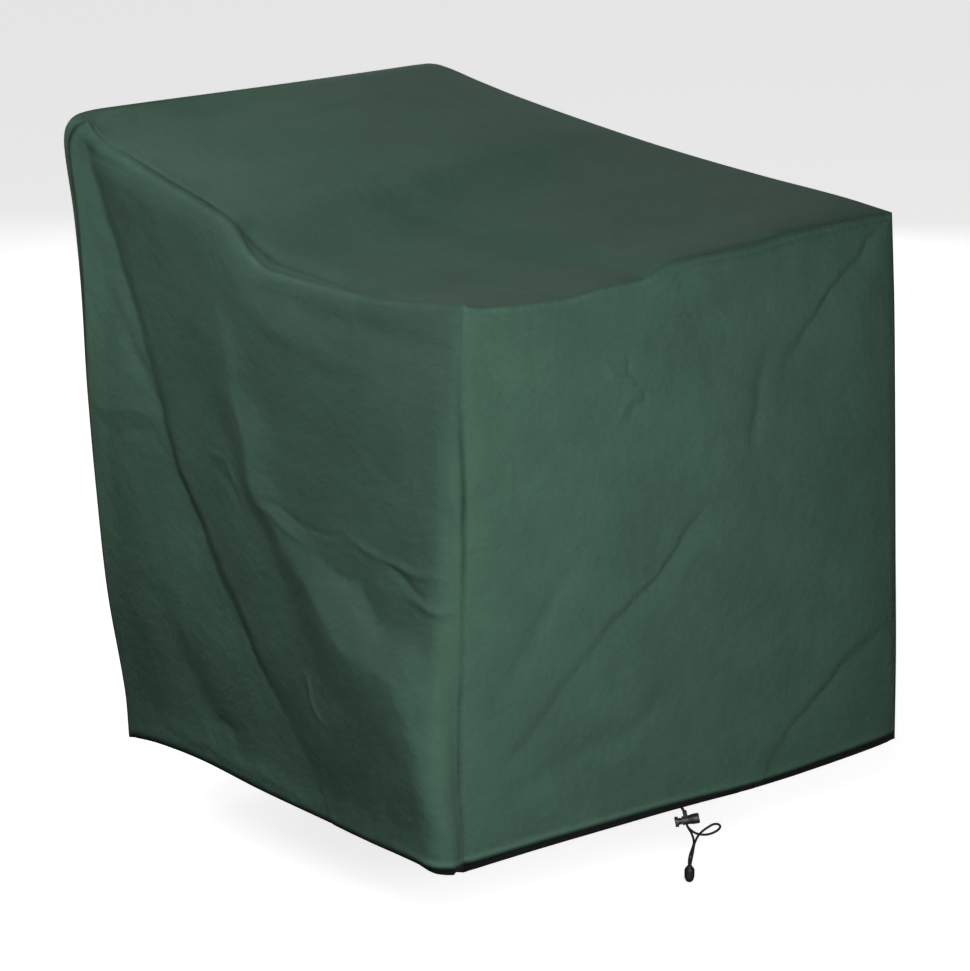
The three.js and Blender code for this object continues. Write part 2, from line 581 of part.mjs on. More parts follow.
function tube(points) {
  const curve = new THREE.CatmullRomCurve3(points.map((p) => vec(...p)), false, 'centripetal');
  const section = new THREE.Shape();
  for (let i = 0; i < CORD_SIDES; i += 1) {
    const angle = (i / CORD_SIDES) * Math.PI * 2;
    const x = (CORD_DIAMETER / 2) * Math.cos(angle);
    const y = (CORD_DIAMETER / 2) * Math.sin(angle);
    if (i === 0) section.moveTo(x, y);
    else section.lineTo(x, y);
  }
  section.closePath();
  const steps = Math.max(2, Math.round(curve.getLength() / (2.2 * CORD_DIAMETER)));
  return new THREE.ExtrudeGeometry(section, { steps, extrudePath: curve, curveSegments: 1 });
}

// Body of revolution along +X; profile rows are: place along the axis, radius
function turned(profile, sides) {
  const points = profile.map(([x, r]) => new THREE.Vector2(r, x));
  const geometry = new THREE.LatheGeometry(points, sides);
  geometry.rotateZ(-Math.PI / 2);
  return geometry;
}

const wasm = await Module();
wasm.setup();

function toSolid(geometry) {
  const bare = geometry.clone();
  bare.deleteAttribute('normal');
  bare.deleteAttribute('uv');
  const merged = mergeVertices(bare, 1e-4);
  return new wasm.Manifold(new wasm.Mesh({
    numProp: 3,
    vertProperties: new Float32Array(merged.attributes.position.array),
    triVerts: new Uint32Array(merged.index.array),
  }));
}

function fromSolid(solid) {
  const mesh = solid.getMesh();
  const geometry = new THREE.BufferGeometry();
  geometry.setAttribute('position', new THREE.BufferAttribute(mesh.vertProperties, 3));
  geometry.setIndex(new THREE.BufferAttribute(mesh.triVerts, 1));
  return geometry.toNonIndexed();
}

// Barrel of the lock, with a blind bore for the plunger and a boss where the cord goes in
function lockBarrel() {
  const { barrelStart, barrelEnd, barrelRadius, neckRadius, boreRadius, boreEnd, cordAt, bossHeight } = LOCK;
  const body = toSolid(turned([
    [boreEnd, 0], [boreEnd, boreRadius], [barrelStart, boreRadius], [barrelStart, neckRadius],
    [cordAt + 3, neckRadius], [barrelEnd - 7, barrelRadius], [barrelEnd - 1, barrelRadius],
    [barrelEnd, barrelRadius - 1], [barrelEnd, 0],
  ], 20));
  const bossDepth = 6.8;
  const bossLength = 5.4;
  const bossFoot = boreRadius + 0.4;
  const boss = new THREE.BoxGeometry(bossLength, bossDepth, bossHeight - bossFoot);
  boss.translate(cordAt, 0, (bossHeight + bossFoot) / 2);
  return fromSolid(body.add(toSolid(boss)));
}

// Plunger of the lock: a flat head to press, a stem in the bore, and the slot that the cord goes through
function lockPlunger() {
  const { headRadius, headLength, stemRadius, stemEnd, cordAt } = LOCK;
  const body = toSolid(turned([
    [0, 0], [0, headRadius - 0.6], [0.6, headRadius], [headLength, headRadius], [headLength, stemRadius],
    [stemEnd, stemRadius], [stemEnd, 0],
  ], 20));
  const clear = 0.4;
  const slotStart = cordAt - CORD_DIAMETER / 2 - clear - PLUNGER_TRAVEL;
  const slotEnd = cordAt + CORD_DIAMETER / 2 + clear;
  const slot = new THREE.BoxGeometry(slotEnd - slotStart, 2 * CORD_DIAMETER + 0.8, 4 * stemRadius);
  slot.translate((slotStart + slotEnd) / 2, 0, 0);
  return fromSolid(body.subtract(toSolid(slot)));
}

function cordEnd() {
  const { length, topRadius, widest } = CORD_END;
  const geometry = turned([
    [0, 0], [0, topRadius - 0.5], [0.8, topRadius], [length * 0.1, topRadius + 1],
    [length * 0.2, widest - 0.3], [length * 0.26, widest], [length * 0.68, widest],
    [length * 0.8, widest - 0.5], [length * 0.93, widest - 1.9], [length, widest - 3.6], [length, 0],
  ], 20);
  geometry.rotateY(Math.PI / 2);
  return geometry;
}

function makeDrawcord() {
  const cord = new THREE.Group();
  cord.position.set(...CORD_PLACE);
  cord.rotation.z = CORD_TURN;

  const lock = new THREE.Group();
  lock.position.set(...LOCK_LEFT);
  lock.rotation.y = LOCK_TILT;
  lock.add(named('cord_lock_barrel', lockBarrel(), BLACK));
  lock.add(named('cord_lock_plunger', lockPlunger(), BLACK));
  cord.add(lock);

  const bossTop = vec(LOCK.cordAt, 0, LOCK.bossHeight + TOUCH).applyEuler(lock.rotation).add(lock.position);
  for (const [name, side] of [['cord_stub_back', STRAND_APART], ['cord_stub_front', -STRAND_APART]]) {
    const top = HEM_UNDERSIDE - TOUCH;
    const stub = [
      [bossTop.x - 2.6, side, top], [bossTop.x - 2.5, side, top - 0.8],
      [bossTop.x - 0.1, side, bossTop.z + 1.1], [bossTop.x, side, bossTop.z + 0.3],
    ];
    cord.add(named(name, tube(stub), CORD_BLACK));
  }
  cord.add(named('cord_straight_strand', tube(STRAIGHT_STRAND), CORD_BLACK));
  cord.add(named('cord_looped_strand', tube(LOOPED_STRAND), CORD_BLACK));

  const end = named('cord_end', cordEnd(), BLACK);
  end.position.set(...CORD_END.place);
  cord.add(end);
  return cord;
}

const group = new THREE.Group();
group.position.z = -SUPPORT_HEIGHT;
for (const name of Object.keys(PANELS)) group.add(makePanel(name));
group.add(makeDrawcord());

export default group;
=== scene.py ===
"""Fitted cloth cover for a single armchair: sewn panels, drawcord with its lock and cord end.

Shapes are built in millimetres above the hem, as the part's solids are,
and moved to the row frame (metres, zero under the top) when a mesh is made.
"""
import math

import bpy
import numpy as np
from mathutils import Matrix, Vector


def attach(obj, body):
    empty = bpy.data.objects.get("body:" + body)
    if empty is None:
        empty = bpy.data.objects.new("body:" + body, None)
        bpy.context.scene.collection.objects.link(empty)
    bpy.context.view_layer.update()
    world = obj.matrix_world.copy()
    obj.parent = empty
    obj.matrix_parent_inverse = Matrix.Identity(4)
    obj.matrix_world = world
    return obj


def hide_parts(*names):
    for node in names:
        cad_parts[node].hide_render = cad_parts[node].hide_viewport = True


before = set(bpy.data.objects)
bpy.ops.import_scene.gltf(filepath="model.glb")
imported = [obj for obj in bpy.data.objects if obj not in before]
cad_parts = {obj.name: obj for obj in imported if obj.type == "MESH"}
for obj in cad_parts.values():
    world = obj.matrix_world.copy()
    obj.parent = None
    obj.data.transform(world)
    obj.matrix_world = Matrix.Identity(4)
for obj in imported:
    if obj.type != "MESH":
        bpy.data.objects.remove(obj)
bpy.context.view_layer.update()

# Overall sizes in millimetres
FRONT_HEIGHT = 700
BACK_HEIGHT = 793
TOP_WIDTH_FRONT = 700
TOP_WIDTH_BACK = 606
HEM_WIDTH = 760
HEM_DEPTH = 650
BACK_OVERHANG = 210
SUPPORT_HEIGHT = 702
# Thickness of the cloth, and how far each panel's rims stand back from its seams
SHEET = 2
SEAM_PULL = 0.03

FRONT_Y = -HEM_DEPTH / 2 - 2
BACK_Y = HEM_DEPTH / 2 - 3
TOP_BACK_Y = BACK_Y + BACK_OVERHANG


def row_frame(points):
    """Millimetres above the hem to metres in the row frame."""
    return (np.asarray(points, float) - (0, 0, SUPPORT_HEIGHT)) / 1000


# Camera at the photograph's viewing angle
CAMERA_PLACE = (-3.2366, -3.7818, 1.0476)
CAMERA_AZIMUTH = math.radians(40.19)
CAMERA_DOWN = math.radians(15.71)
FOCAL_LENGTH = 148.3
SENSOR = 36


def make_camera():
    data = bpy.data.cameras.new("camera")
    data.lens = FOCAL_LENGTH
    data.sensor_width = SENSOR
    data.clip_end = 200
    camera = bpy.data.objects.new("camera", data)
    bpy.context.scene.collection.objects.link(camera)
    turn = Matrix.Rotation(-CAMERA_AZIMUTH, 4, "Z") @ Matrix.Rotation(math.pi / 2 - CAMERA_DOWN, 4, "X")
    camera.matrix_world = Matrix.Translation(CAMERA_PLACE) @ turn
    bpy.context.scene.camera = camera


make_camera()


# Node materials
class Shader:
    """A material whose nodes are added by short calls."""

    def __init__(self, name):
        self.material = bpy.data.materials.new(name)
        self.material.use_nodes = True
        self.tree = self.material.node_tree
        self.principled = self.tree.nodes["Principled BSDF"]

    def node(self, kind, inputs=None, **settings):
        node = self.tree.nodes.new(kind)
        for key, value in settings.items():
            setattr(node, key, value)
        for key, value in (inputs or {}).items():
            self.feed(node.inputs[key], value)
        return node

    def feed(self, socket, value):
        if isinstance(value, bpy.types.NodeSocket):
            self.tree.links.new(value, socket)
        else:
            socket.default_value = value

    def set(self, **values):
        for key, value in values.items():
            self.feed(self.principled.inputs[key.replace("_", " ")], value)

    def math(self, operation, first, second=0.0, clamp=False):
        node = self.node("ShaderNodeMath", operation=operation, use_clamp=clamp)
        self.feed(node.inputs[0], first)
        self.feed(node.inputs[1], second)
        return node.outputs[0]

    def mix(self, factor, first, second):
        node = self.node("ShaderNodeMix", data_type="RGBA")
        self.feed(node.inputs["Factor"], factor)
        self.feed(node.inputs["A"], first)
        self.feed(node.inputs["B"], second)
        return node.outputs["Result"]

    def noise(self, vector, scale, detail=4.0, roughness=0.5):
        node = self.node("ShaderNodeTexNoise", {"Vector": vector, "Scale": scale, "Detail": detail,
                                                "Roughness": roughness})
        return node.outputs["Fac"]

    def ramp(self, value, low, high):
        """Nothing up to low and one from high, with a smooth rise between them."""
        node = self.node("ShaderNodeMapRange", {"Value": value, "From Min": low, "From Max": high})
        node.interpolation_type = "SMOOTHSTEP"
        return node.outputs["Result"]

    def spread(self, value, low, high, start=0.0, stop=1.0):
        """Low where the value is at start and high where it is at stop, held beyond them."""
        node = self.node("ShaderNodeMapRange", {"Value": value, "From Min": start, "From Max": stop,
                                                "To Min": low, "To Max": high})
        return node.outputs["Result"]

    def bump(self, height, distance, strength=1.0, normal=None):
        node = self.node("ShaderNodeBump", {"Height": height, "Distance": distance, "Strength": strength})
        if normal is not None:
            self.feed(node.inputs["Normal"], normal)
        return node.outputs["Normal"]


# Colours of the pieces
CLOTH_DARK = (0.0455, 0.097, 0.068, 1)
CLOTH_LIGHT = (0.0575, 0.122, 0.086, 1)
# Painted shade: dark colour for the seam grooves, where shade falls between the rolls
GROOVE_PAINTED_SHADE = (0.010, 0.022, 0.016, 1)
# Painted highlight: paler colour for the hem's rolled edge and the line below an upper seam
CLOTH_PAINTED_HIGHLIGHT = (0.080, 0.160, 0.115, 1)
# Painted shade: near-black colour for the hem's curled-in band, where shade falls under its rolled edge
HEM_PAINTED_SHADE = (0.0015, 0.0035, 0.003, 1)
CORD_DARK = (0.004, 0.004, 0.0045, 1)
CORD_LIGHT = (0.016, 0.016, 0.017, 1)
PLASTIC_DARK = (0.009, 0.009, 0.010, 1)
PLASTIC_LIGHT = (0.016, 0.016, 0.017, 1)
PLASTIC_WORN = (0.030, 0.030, 0.032, 1)
# Pitches of the weave, of the puckers beside the seams and of the cord's braid, in metres
WEAVE_PITCH = 0.0007
PUCKER_PITCH = 0.011
BRAID_PITCH = 0.006
BRAID_STRANDS = 4
# How far from a seam its puckers start to fade and have gone, in metres
PUCKERS_FADE = (0.002, 0.014)
# Depths of the fine relief in the materials, in metres
CREASE_DEPTH = 0.004
DIMPLE_DEPTH = 0.0014
PUCKER_DEPTH = 0.0003
WEAVE_DEPTH = 0.00012
BRAID_DEPTH = 0.0003
GRAIN_DEPTH = 0.00008


def make_cloth(name):
    """Coated plain-weave polyester: fine threads, faint slubs, small creases and puckers by the seams, with
    painted shade in the seam grooves and along the hem's curled-in band, and painted highlights on the hem's
    rolled edge and below upper seams.
    """
    s = Shader(name)
    cloth = s.node("ShaderNodeUVMap", uv_map="cloth").outputs["UV"]
    seam = s.node("ShaderNodeUVMap", uv_map="seam").outputs["UV"]
    place = s.node("ShaderNodeSeparateXYZ", {"Vector": cloth})
    edge = s.node("ShaderNodeSeparateXYZ", {"Vector": seam})
    hem_band = s.node("ShaderNodeAttribute", attribute_name="hem_band").outputs["Fac"]
    worn = s.node("ShaderNodeAttribute", attribute_name="worn").outputs["Fac"]
    stitched = s.node("ShaderNodeAttribute", attribute_name="stitched").outputs["Fac"]
    from_seam, along_seam = edge.outputs["X"], edge.outputs["Y"]

    turns = 2 * math.pi / WEAVE_PITCH
    warp = s.math("SINE", s.math("MULTIPLY", place.outputs["X"], turns))
    weft = s.math("SINE", s.math("MULTIPLY", place.outputs["Y"], turns))
    weave = s.math("MULTIPLY", warp, weft)

    clouds = s.noise(cloth, scale=9.0, detail=5.0, roughness=0.6)
    slubs = s.noise(cloth, scale=140.0, detail=3.0, roughness=0.7)
    tone = s.math("ADD", s.math("MULTIPLY", clouds, 0.65), s.math("MULTIPLY", slubs, 0.35))
    colour = s.mix(s.ramp(tone, 0.3, 0.7), CLOTH_DARK, CLOTH_LIGHT)
    run = s.node("ShaderNodeCombineXYZ", {"X": along_seam}).outputs["Vector"]
    uneven = s.spread(s.noise(run, scale=24.0), 0.5, 1.15, start=0.3, stop=0.7)
    # Painted shade darkens the cloth in the seam grooves, uneven along each seam
    colour = s.mix(s.math("MULTIPLY", stitched, uneven, clamp=True), colour, GROOVE_PAINTED_SHADE)
    patchy = s.spread(s.noise(run, scale=30.0), 0.35, 1.0, start=0.35, stop=0.65)
    # Painted highlight on the hem's rolled edge and below upper seams, patchy along them
    colour = s.mix(s.math("MULTIPLY", worn, patchy), colour, CLOTH_PAINTED_HIGHLIGHT)
    # Painted shade: the hem's curled-in band turned near-black
    colour = s.mix(hem_band, colour, HEM_PAINTED_SHADE)
    s.set(Base_Color=colour)

    creases = s.noise(cloth, scale=26.0, detail=4.0, roughness=0.55)
    dimples = s.noise(cloth, scale=70.0, detail=3.0, roughness=0.5)
    puckers = s.math("SINE", s.math("MULTIPLY", along_seam, 2 * math.pi / PUCKER_PITCH))
    near_seam = s.math("SUBTRACT", 1.0, s.ramp(from_seam, *PUCKERS_FADE))
    normal = s.bump(creases, CREASE_DEPTH, strength=0.85)
    normal = s.bump(dimples, DIMPLE_DEPTH, strength=0.8, normal=normal)
    normal = s.bump(s.math("MULTIPLY", puckers, near_seam), PUCKER_DEPTH, strength=0.4, normal=normal)
    normal = s.bump(weave, WEAVE_DEPTH, strength=0.7, normal=normal)
    s.set(Normal=normal)
    s.set(Roughness=s.spread(clouds, 0.72, 0.86))
    s.principled.inputs["Specular IOR Level"].default_value = 0.12
    s.principled.inputs["Sheen Weight"].default_value = 0.03
    s.principled.inputs["Sheen Roughness"].default_value = 0.5
    return s.material


def make_cord_material():
    """Braided black cord: two sets of strands wound round it both ways."""
    s = Shader("cord_braid")
    place = s.node("ShaderNodeUVMap", uv_map="round").outputs["UV"]
    axes = s.node("ShaderNodeSeparateXYZ", {"Vector": place})
    around, along = axes.outputs["X"], axes.outputs["Y"]
    angle = s.math("MULTIPLY", around, 2 * math.pi * BRAID_STRANDS)
    run = s.math("MULTIPLY", along, 2 * math.pi * BRAID_STRANDS / BRAID_PITCH)
    one = s.math("SINE", s.math("ADD", angle, run))
    two = s.math("SINE", s.math("SUBTRACT", angle, run))
    braid = s.math("MAXIMUM", one, two)
    fuzz = s.noise(s.node("ShaderNodeTexCoord").outputs["Object"], scale=900.0, detail=2.0)
    s.set(Base_Color=s.mix(s.ramp(braid, -0.2, 1.0), CORD_DARK, CORD_LIGHT))
    s.set(Normal=s.bump(s.math("ADD", braid, fuzz), BRAID_DEPTH, strength=0.8))
    s.set(Roughness=s.ramp(fuzz, -0.6, 1.2))
    return s.material


def make_plastic(name):
    """Satin moulded black plastic with a fine grain and worn, slightly paler rims."""
    s = Shader(name)
    place = s.node("ShaderNodeTexCoord").outputs["Object"]
    grain = s.noise(place, scale=2600.0, detail=2.0, roughness=0.6)
    patches = s.noise(place, scale=160.0, detail=3.0, roughness=0.6)
    worn = s.ramp(s.node("ShaderNodeNewGeometry").outputs["Pointiness"], 0.52, 0.6)
    s.set(Base_Color=s.mix(worn, s.mix(patches, PLASTIC_DARK, PLASTIC_LIGHT), PLASTIC_WORN))
    s.set(Normal=s.bump(grain, GRAIN_DEPTH, strength=0.5))
    s.set(Roughness=s.spread(patches, 0.36, 0.5))
    return s.material


CLOTH = make_cloth("cover_cloth")
CORD = make_cord_material()
PLASTIC = make_plastic("lock_plastic")


def add_object(name, verts, faces, material):
    """Smooth-shaded mesh that rides on the cover's body."""
    mesh = bpy.data.meshes.new(name)
    mesh.from_pydata(verts, [], faces)
    mesh.materials.append(material)
    mesh.polygons.foreach_set("use_smooth", [True] * len(mesh.polygons))
    mesh.update()
    made = bpy.data.objects.new(name, mesh)
    bpy.context.scene.collection.objects.link(made)
    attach(made, "cover")
    return made


# Curves and values read off tables of measured places
PATH_STEPS = 40


def read_off(rows, at):
    """Every further column of a table at places along its first one."""
    rows = np.array(rows, float)
    return [np.interp(at, rows[:, 0], column) for column in rows[:, 1:].T]


def smooth_rows(rows, t):
    """Smooth curve through rows whose first column is the place along it."""
    rows = np.asarray(rows, float)
    at, value = rows[:, 0], rows[:, 1:]
    last = len(rows) - 1
    before = np.maximum(np.arange(last + 1) - 1, 0)
    after = np.minimum(np.arange(last + 1) + 1, last)
    slope = (value[after] - value[before]) / (at[after] - at[before])[:, None]
    i = np.clip(np.searchsorted(at, t, side="right") - 1, 0, last - 1)
    step = (at[i + 1] - at[i])[:, None]
    s = ((t - at[i]) / (at[i + 1] - at[i]))[:, None]
    return ((2 * s ** 3 - 3 * s ** 2 + 1) * value[i] + (s ** 3 - 2 * s ** 2 + s) * step * slope[i]
            + (3 * s ** 2 - 2 * s ** 3) * value[i + 1] + (s ** 3 - s ** 2) * step * slope[i + 1])


def smooth_path(points, spacing):
    """The same curve through plain points, at even spacing."""
    points = np.asarray(points, float)
    chords = np.linalg.norm(np.diff(points, axis=0), axis=1)
    at = np.concatenate([[0], np.cumsum(chords)])
    fine = smooth_rows(np.column_stack([at, points]), np.linspace(0, at[-1], PATH_STEPS * len(points)))
    run = np.concatenate([[0], np.cumsum(np.linalg.norm(np.diff(fine, axis=0), axis=1))])
    count = max(2, round(run[-1] / spacing) + 1)
    where = np.linspace(0, run[-1], count)
    return np.column_stack([np.interp(where, run, fine[:, k]) for k in range(3)]), run[-1]


# Drawcord, in its own axes: across, towards the back, up; turned about the upright
CORD_DIAMETER = 3
CORD_SIDES = 16
CORD_SPACING = 0.7
CORD_TURN = math.radians(-40)
CORD_PLACE = (-1.3, -336.2, 3.4)
STRAND_APART = 1.7

# Routes: both strands from the hem to the lock's underside, then each of them to the cord end
THROUGH_LOCK = [(-2.9, 0, 1.6), (-1.5, 0, -0.9), (0.4, 0, -3.6), (2, 0, -6.4), (3.4, 0, -12), (4.7, 0, -18.5)]
STRAIGHT_STRAND = [
    (5.6, 1.7, -23.9), (6.5, 1.7, -27), (8.6, 1.8, -30.8), (10.8, 1.8, -34.4), (12.7, 1.8, -38.8),
    (14.2, 1.8, -43.8), (14.7, 1.8, -49.2), (13.3, 1.8, -55.2), (11.2, 1.6, -61.2), (9.5, 1.2, -67.7),
    (8.9, 1.3, -73.8), (9.1, 1.6, -78.8),
]
LOOPED_STRAND = [
    (5.6, -1.7, -23.9), (7.2, -1.7, -26.8), (10, -1.8, -29.8), (13.3, -1.8, -32.6), (17.5, -1.8, -34.8),
    (22.8, -1.6, -36.3), (29.1, -1.4, -36.7), (35.4, -1.6, -35.3), (41.2, -2.8, -32.2), (45.5, -5.6, -27.6),
    (46.8, -9.6, -22.4), (43.6, -13.2, -18.2), (37.7, -15.4, -17.7), (31.6, -15, -21.4), (26.4, -13, -26),
    (22.2, -10.4, -31.1), (18.8, -7.4, -37.1), (16.6, -4.8, -43.4), (15.1, -3.2, -48.9),
    (14.3, -2.2, -54.3), (13.6, -1.8, -59.9), (12.5, -1.4, -66.7), (11.4, -1.4, -72.8), (10.4, -1.6, -78.8),
]


def cord_frame(points):
    """Drawcord axes to millimetres above the hem."""
    p = np.asarray(points, float)
    c, s = math.cos(CORD_TURN), math.sin(CORD_TURN)
    turned = np.column_stack([c * p[:, 0] - s * p[:, 1], s * p[:, 0] + c * p[:, 1], p[:, 2]])
    return turned + CORD_PLACE


def tube(path, radius):
    """Rings of places round a path with a fan over each end, and the faces between them."""
    ahead = np.gradient(path, axis=0)
    ahead /= np.linalg.norm(ahead, axis=1, keepdims=True)
    side = np.cross(ahead, (math.sin(CORD_TURN), -math.cos(CORD_TURN), 0))
    side /= np.linalg.norm(side, axis=1, keepdims=True)
    other = np.cross(ahead, side)
    angles = np.arange(CORD_SIDES) * 2 * math.pi / CORD_SIDES
    rings = [p + radius * (np.cos(angles)[:, None] * a + np.sin(angles)[:, None] * b)
             for p, a, b in zip(path, side, other)]
    count = len(path)
    first_tip, last_tip = count * CORD_SIDES, count * CORD_SIDES + 1
    last_ring = (count - 1) * CORD_SIDES
    faces = []
    for k in range(CORD_SIDES):
        n = (k + 1) % CORD_SIDES
        for i in range(0, last_ring, CORD_SIDES):
            faces.append((i + k, i + n, i + CORD_SIDES + n, i + CORD_SIDES + k))
        faces.append((first_tip, n, k))
        faces.append((last_tip, last_ring + k, last_ring + n))
    return np.concatenate([*rings, [path[0], path[-1]]]), faces


def make_cord(name, places, replaced):
    path, length = smooth_path(cord_frame(places), CORD_SPACING)
    verts, faces = tube(path, CORD_DIAMETER / 2)
    made = add_object(name, row_frame(verts).tolist(), faces, CORD)
    uv = made.data.uv_layers.new(name="round")
    spot = np.empty(len(made.data.loops), int)
    made.data.loops.foreach_get("vertex_index", spot)
    last = len(path) - 1
    ring = np.minimum(spot // CORD_SIDES, last)
    around = (spot % CORD_SIDES) / CORD_SIDES
    uv.data.foreach_set("uv", np.column_stack([around, ring * length / 1000 / last]).ravel())
    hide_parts(*replaced)


def shifted(points, side):
    """The shared route moved over to one strand's side."""
    return [(x, side, z) for x, _, z in points]


make_cord("drawcord_straight", shifted(THROUGH_LOCK, STRAND_APART) + STRAIGHT_STRAND,
          ["cord_stub_back", "cord_straight_strand"])
make_cord("drawcord_looped", shifted(THROUGH_LOCK, -STRAND_APART) + LOOPED_STRAND,
          ["cord_stub_front", "cord_looped_strand"])
for fitting in ("cord_lock_barrel", "cord_lock_plunger", "cord_end"):
    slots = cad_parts[fitting].data.materials
    slots.clear()
    slots.append(PLASTIC)

# Cut of the cover: corners, then the seams and hems between them
CORNERS = {
    "hem_front_left": (-HEM_WIDTH / 2 + 28, FRONT_Y, 0.5),
    "hem_front_right": (HEM_WIDTH / 2 + 9, FRONT_Y + 1, 3),
    "hem_back_left": (-HEM_WIDTH / 2 - 3, BACK_Y, 6),
    "hem_back_right": (HEM_WIDTH / 2, BACK_Y + 3, 0),
    "top_front_left": (-TOP_WIDTH_FRONT / 2, FRONT_Y, FRONT_HEIGHT),
    "top_front_right": (TOP_WIDTH_FRONT / 2 + 7, FRONT_Y + 2, FRONT_HEIGHT + 13),
    "top_back_left": (-TOP_WIDTH_BACK / 2, TOP_BACK_Y - 35, BACK_HEIGHT),
    "top_back_right": (TOP_WIDTH_BACK / 2, TOP_BACK_Y + 2, BACK_HEIGHT - 2),
}
# Bends of each edge away from straight; columns: fraction along it, across, towards the back, up
EDGES = {
    "seam_front_left": ("hem_front_left", "top_front_left", [
        (0.06, -1, -2, 0), (0.1, -4, -2, 0), (0.15, -8, -2, 0), (0.22, -10, -3, 0), (0.3, -9, -3, 0),
        (0.38, -6, -3, 0), (0.5, -4.5, -3, 0), (0.62, -3, -3, 0), (0.73, -3.5, -2, 0), (0.8, -6.5, -2, 0),
        (0.86, -7, -2, 0), (0.93, -4, -1, 0)]),
    "seam_front_right": ("hem_front_right", "top_front_right", [
        (0.18, 1.4, -2, -2), (0.37, 0.5, -3, 0), (0.65, 1, -3, 2), (0.84, 1.5, -2, 1)]),
    "seam_back_left": ("hem_back_left", "top_back_left", [
        (0.08, 0, 2, -4), (0.25, -14, 6, -9), (0.42, -17, 11, -16), (0.58, -16, 17, -14),
        (0.74, -9, 22, -14), (0.86, -6, 28, -13), (0.93, -9, 32, -1), (0.96, -10, 29, 3),
        (0.985, -7, 17, 2)]),
    "seam_back_right": ("hem_back_right", "top_back_right", [
        (0.3, 9, -3, 0), (0.6, 7, 0, 0), (0.85, 3, 5, 6), (0.96, 1, 6, 5)]),
    "seam_top_front": ("top_front_left", "top_front_right", [
        (0.037, 0, -1, -8), (0.217, 0, -3, -18), (0.3, 0, -4, -15), (0.35, 0, -4, -15), (0.395, 0, -4, -15),
        (0.432, 0, -4, -7), (0.467, 0, -4, -1), (0.64, 0, -4, -2), (0.73, -1, -3, 2), (0.85, -2, -2, 2)]),
    "seam_top_left": ("top_front_left", "top_back_left", [
        (0.1, -1, 1, -21), (0.2, -2, 3, -42), (0.31, -1, 6, -56), (0.42, 0, 9, -69), (0.485, 1, 10, -73),
        (0.525, 2, 11, -64), (0.57, 5, 13, -42), (0.63, 8, 15, -34), (0.74, 11, 18, -30),
        (0.87, 13, 24, -23), (0.93, 12, 21, -23), (0.97, 5, 10, -14)]),
    "seam_top_right": ("top_front_right", "top_back_right", [
        (0.1, 0, -4, 0), (0.26, 0, -2, -5), (0.43, 0, -4, -8), (0.6, 0, 0, -7), (0.77, 0, 10, -2),
        (0.86, 0, 6, 2), (0.95, 0, 4, 7)]),
    "seam_top_back": ("top_back_left", "top_back_right", [
        (0.025, -10, 15, 4), (0.07, -15, 34, 5), (0.15, -8, 36, 5), (0.5, 0, 25, 4), (0.85, 8, 10, 4),
        (0.97, 7, 5, 3)]),
    "hem_front": ("hem_front_left", "hem_front_right", [
        (0.05, 0.2, -1.2, 2.4), (0.1, 0.5, -2.2, 3.3), (0.15, 1, -3, 3.7), (0.22, 1.6, -4, 3.6),
        (0.32, 2, -5, 2.9), (0.42, 0.9, -5.7, 2.2), (0.5, 0, -6, 0.8), (0.65, 0, -6, -2.1),
        (0.8, 0, -4, -1.9)]),
    "hem_left": ("hem_front_left", "hem_back_left", [
        (0.035, -25, -22, 5.7), (0.055, -33, -29, 8.6), (0.09, -34, -26, 13), (0.2, -31, -8, 11.4),
        (0.35, -24, 0, 7.6), (0.55, -17, 0, 8.5), (0.75, -9, 0, 12.4), (0.9, -4, 0, 8.6)]),
    "hem_right": ("hem_front_right", "hem_back_right", [(0.25, 4, 4, 4), (0.5, 3, 0, 10), (0.75, 2, 3, 8)]),
    "hem_back": ("hem_back_left", "hem_back_right", [(0.25, 0, 5, -3), (0.5, 0, 6, -6), (0.75, 0, 4, 1)]),
}
# Each panel: its four edges (columns: edge, how far the cloth rolls up from it broadly, and tightly), the
# size it was cut to, its area in square metres, which way is out, how far its hem curls in, and the steps
# of its grid's middle
PANELS = {
    "front_panel": dict(lower=("hem_front", 0, 0), upper=("seam_top_front", 4, 2.5),
                        start=("seam_front_left", 5, 1), end=("seam_front_right", 5, 1),
                        width=735, height=710, area=0.517, outward=1, curl=2, middle=230),
    "left_panel": dict(lower=("hem_left", 0, 0), upper=("seam_top_left", 3, 3.5),
                       start=("seam_front_left", 6, 1), end=("seam_back_left", 0, 1),
                       width=740, height=740, area=0.551, outward=-1, curl=5, middle=230),
    "right_panel": dict(lower=("hem_right", 0, 0), upper=("seam_top_right", 4, 2),
                        start=("seam_front_right", 5, 1), end=("seam_back_right", 5, 1),
                        width=740, height=750, area=0.565, outward=1, curl=5, middle=120),
    "back_panel": dict(lower=("hem_back", 0, 0), upper=("seam_top_back", 4, 2),
                       start=("seam_back_left", 5, 1), end=("seam_back_right", 5, 1),
                       width=690, height=800, area=0.591, outward=-1, curl=5, middle=120),
    "top_panel": dict(lower=("seam_top_front", 4, 1), upper=("seam_top_back", 4, 2),
                      start=("seam_top_left", 3, 1), end=("seam_top_right", 4, 2),
                      width=660, height=860, area=0.582, outward=1, curl=0, middle=230),
}
# From a seam: how far its two rolls reach, and where the folds and the swells have their full height
SEAM_ROLL_REACH = 22
SEAM_TIGHT_REACH = 6
SEAM_CALM_REACH = 20
SWELL_CALM_REACH = 100
# Hem: how high its rolled edge is, how far that reaches, where both fade at the panel's ends,
# and over what height its painted shade band ends
HEM_CURL_HEIGHT = 12
HEM_RIDGE_REACH = 6
HEM_END_REACH = 8
HEM_SHADE_EDGE = 5
# Painted highlight lines: above a hem's painted shade band and below an upper seam, and how far they reach
HIGHLIGHT_ABOVE_SHADE = 4.5
HIGHLIGHT_BELOW_SEAM = 4
HIGHLIGHT_REACH = 3
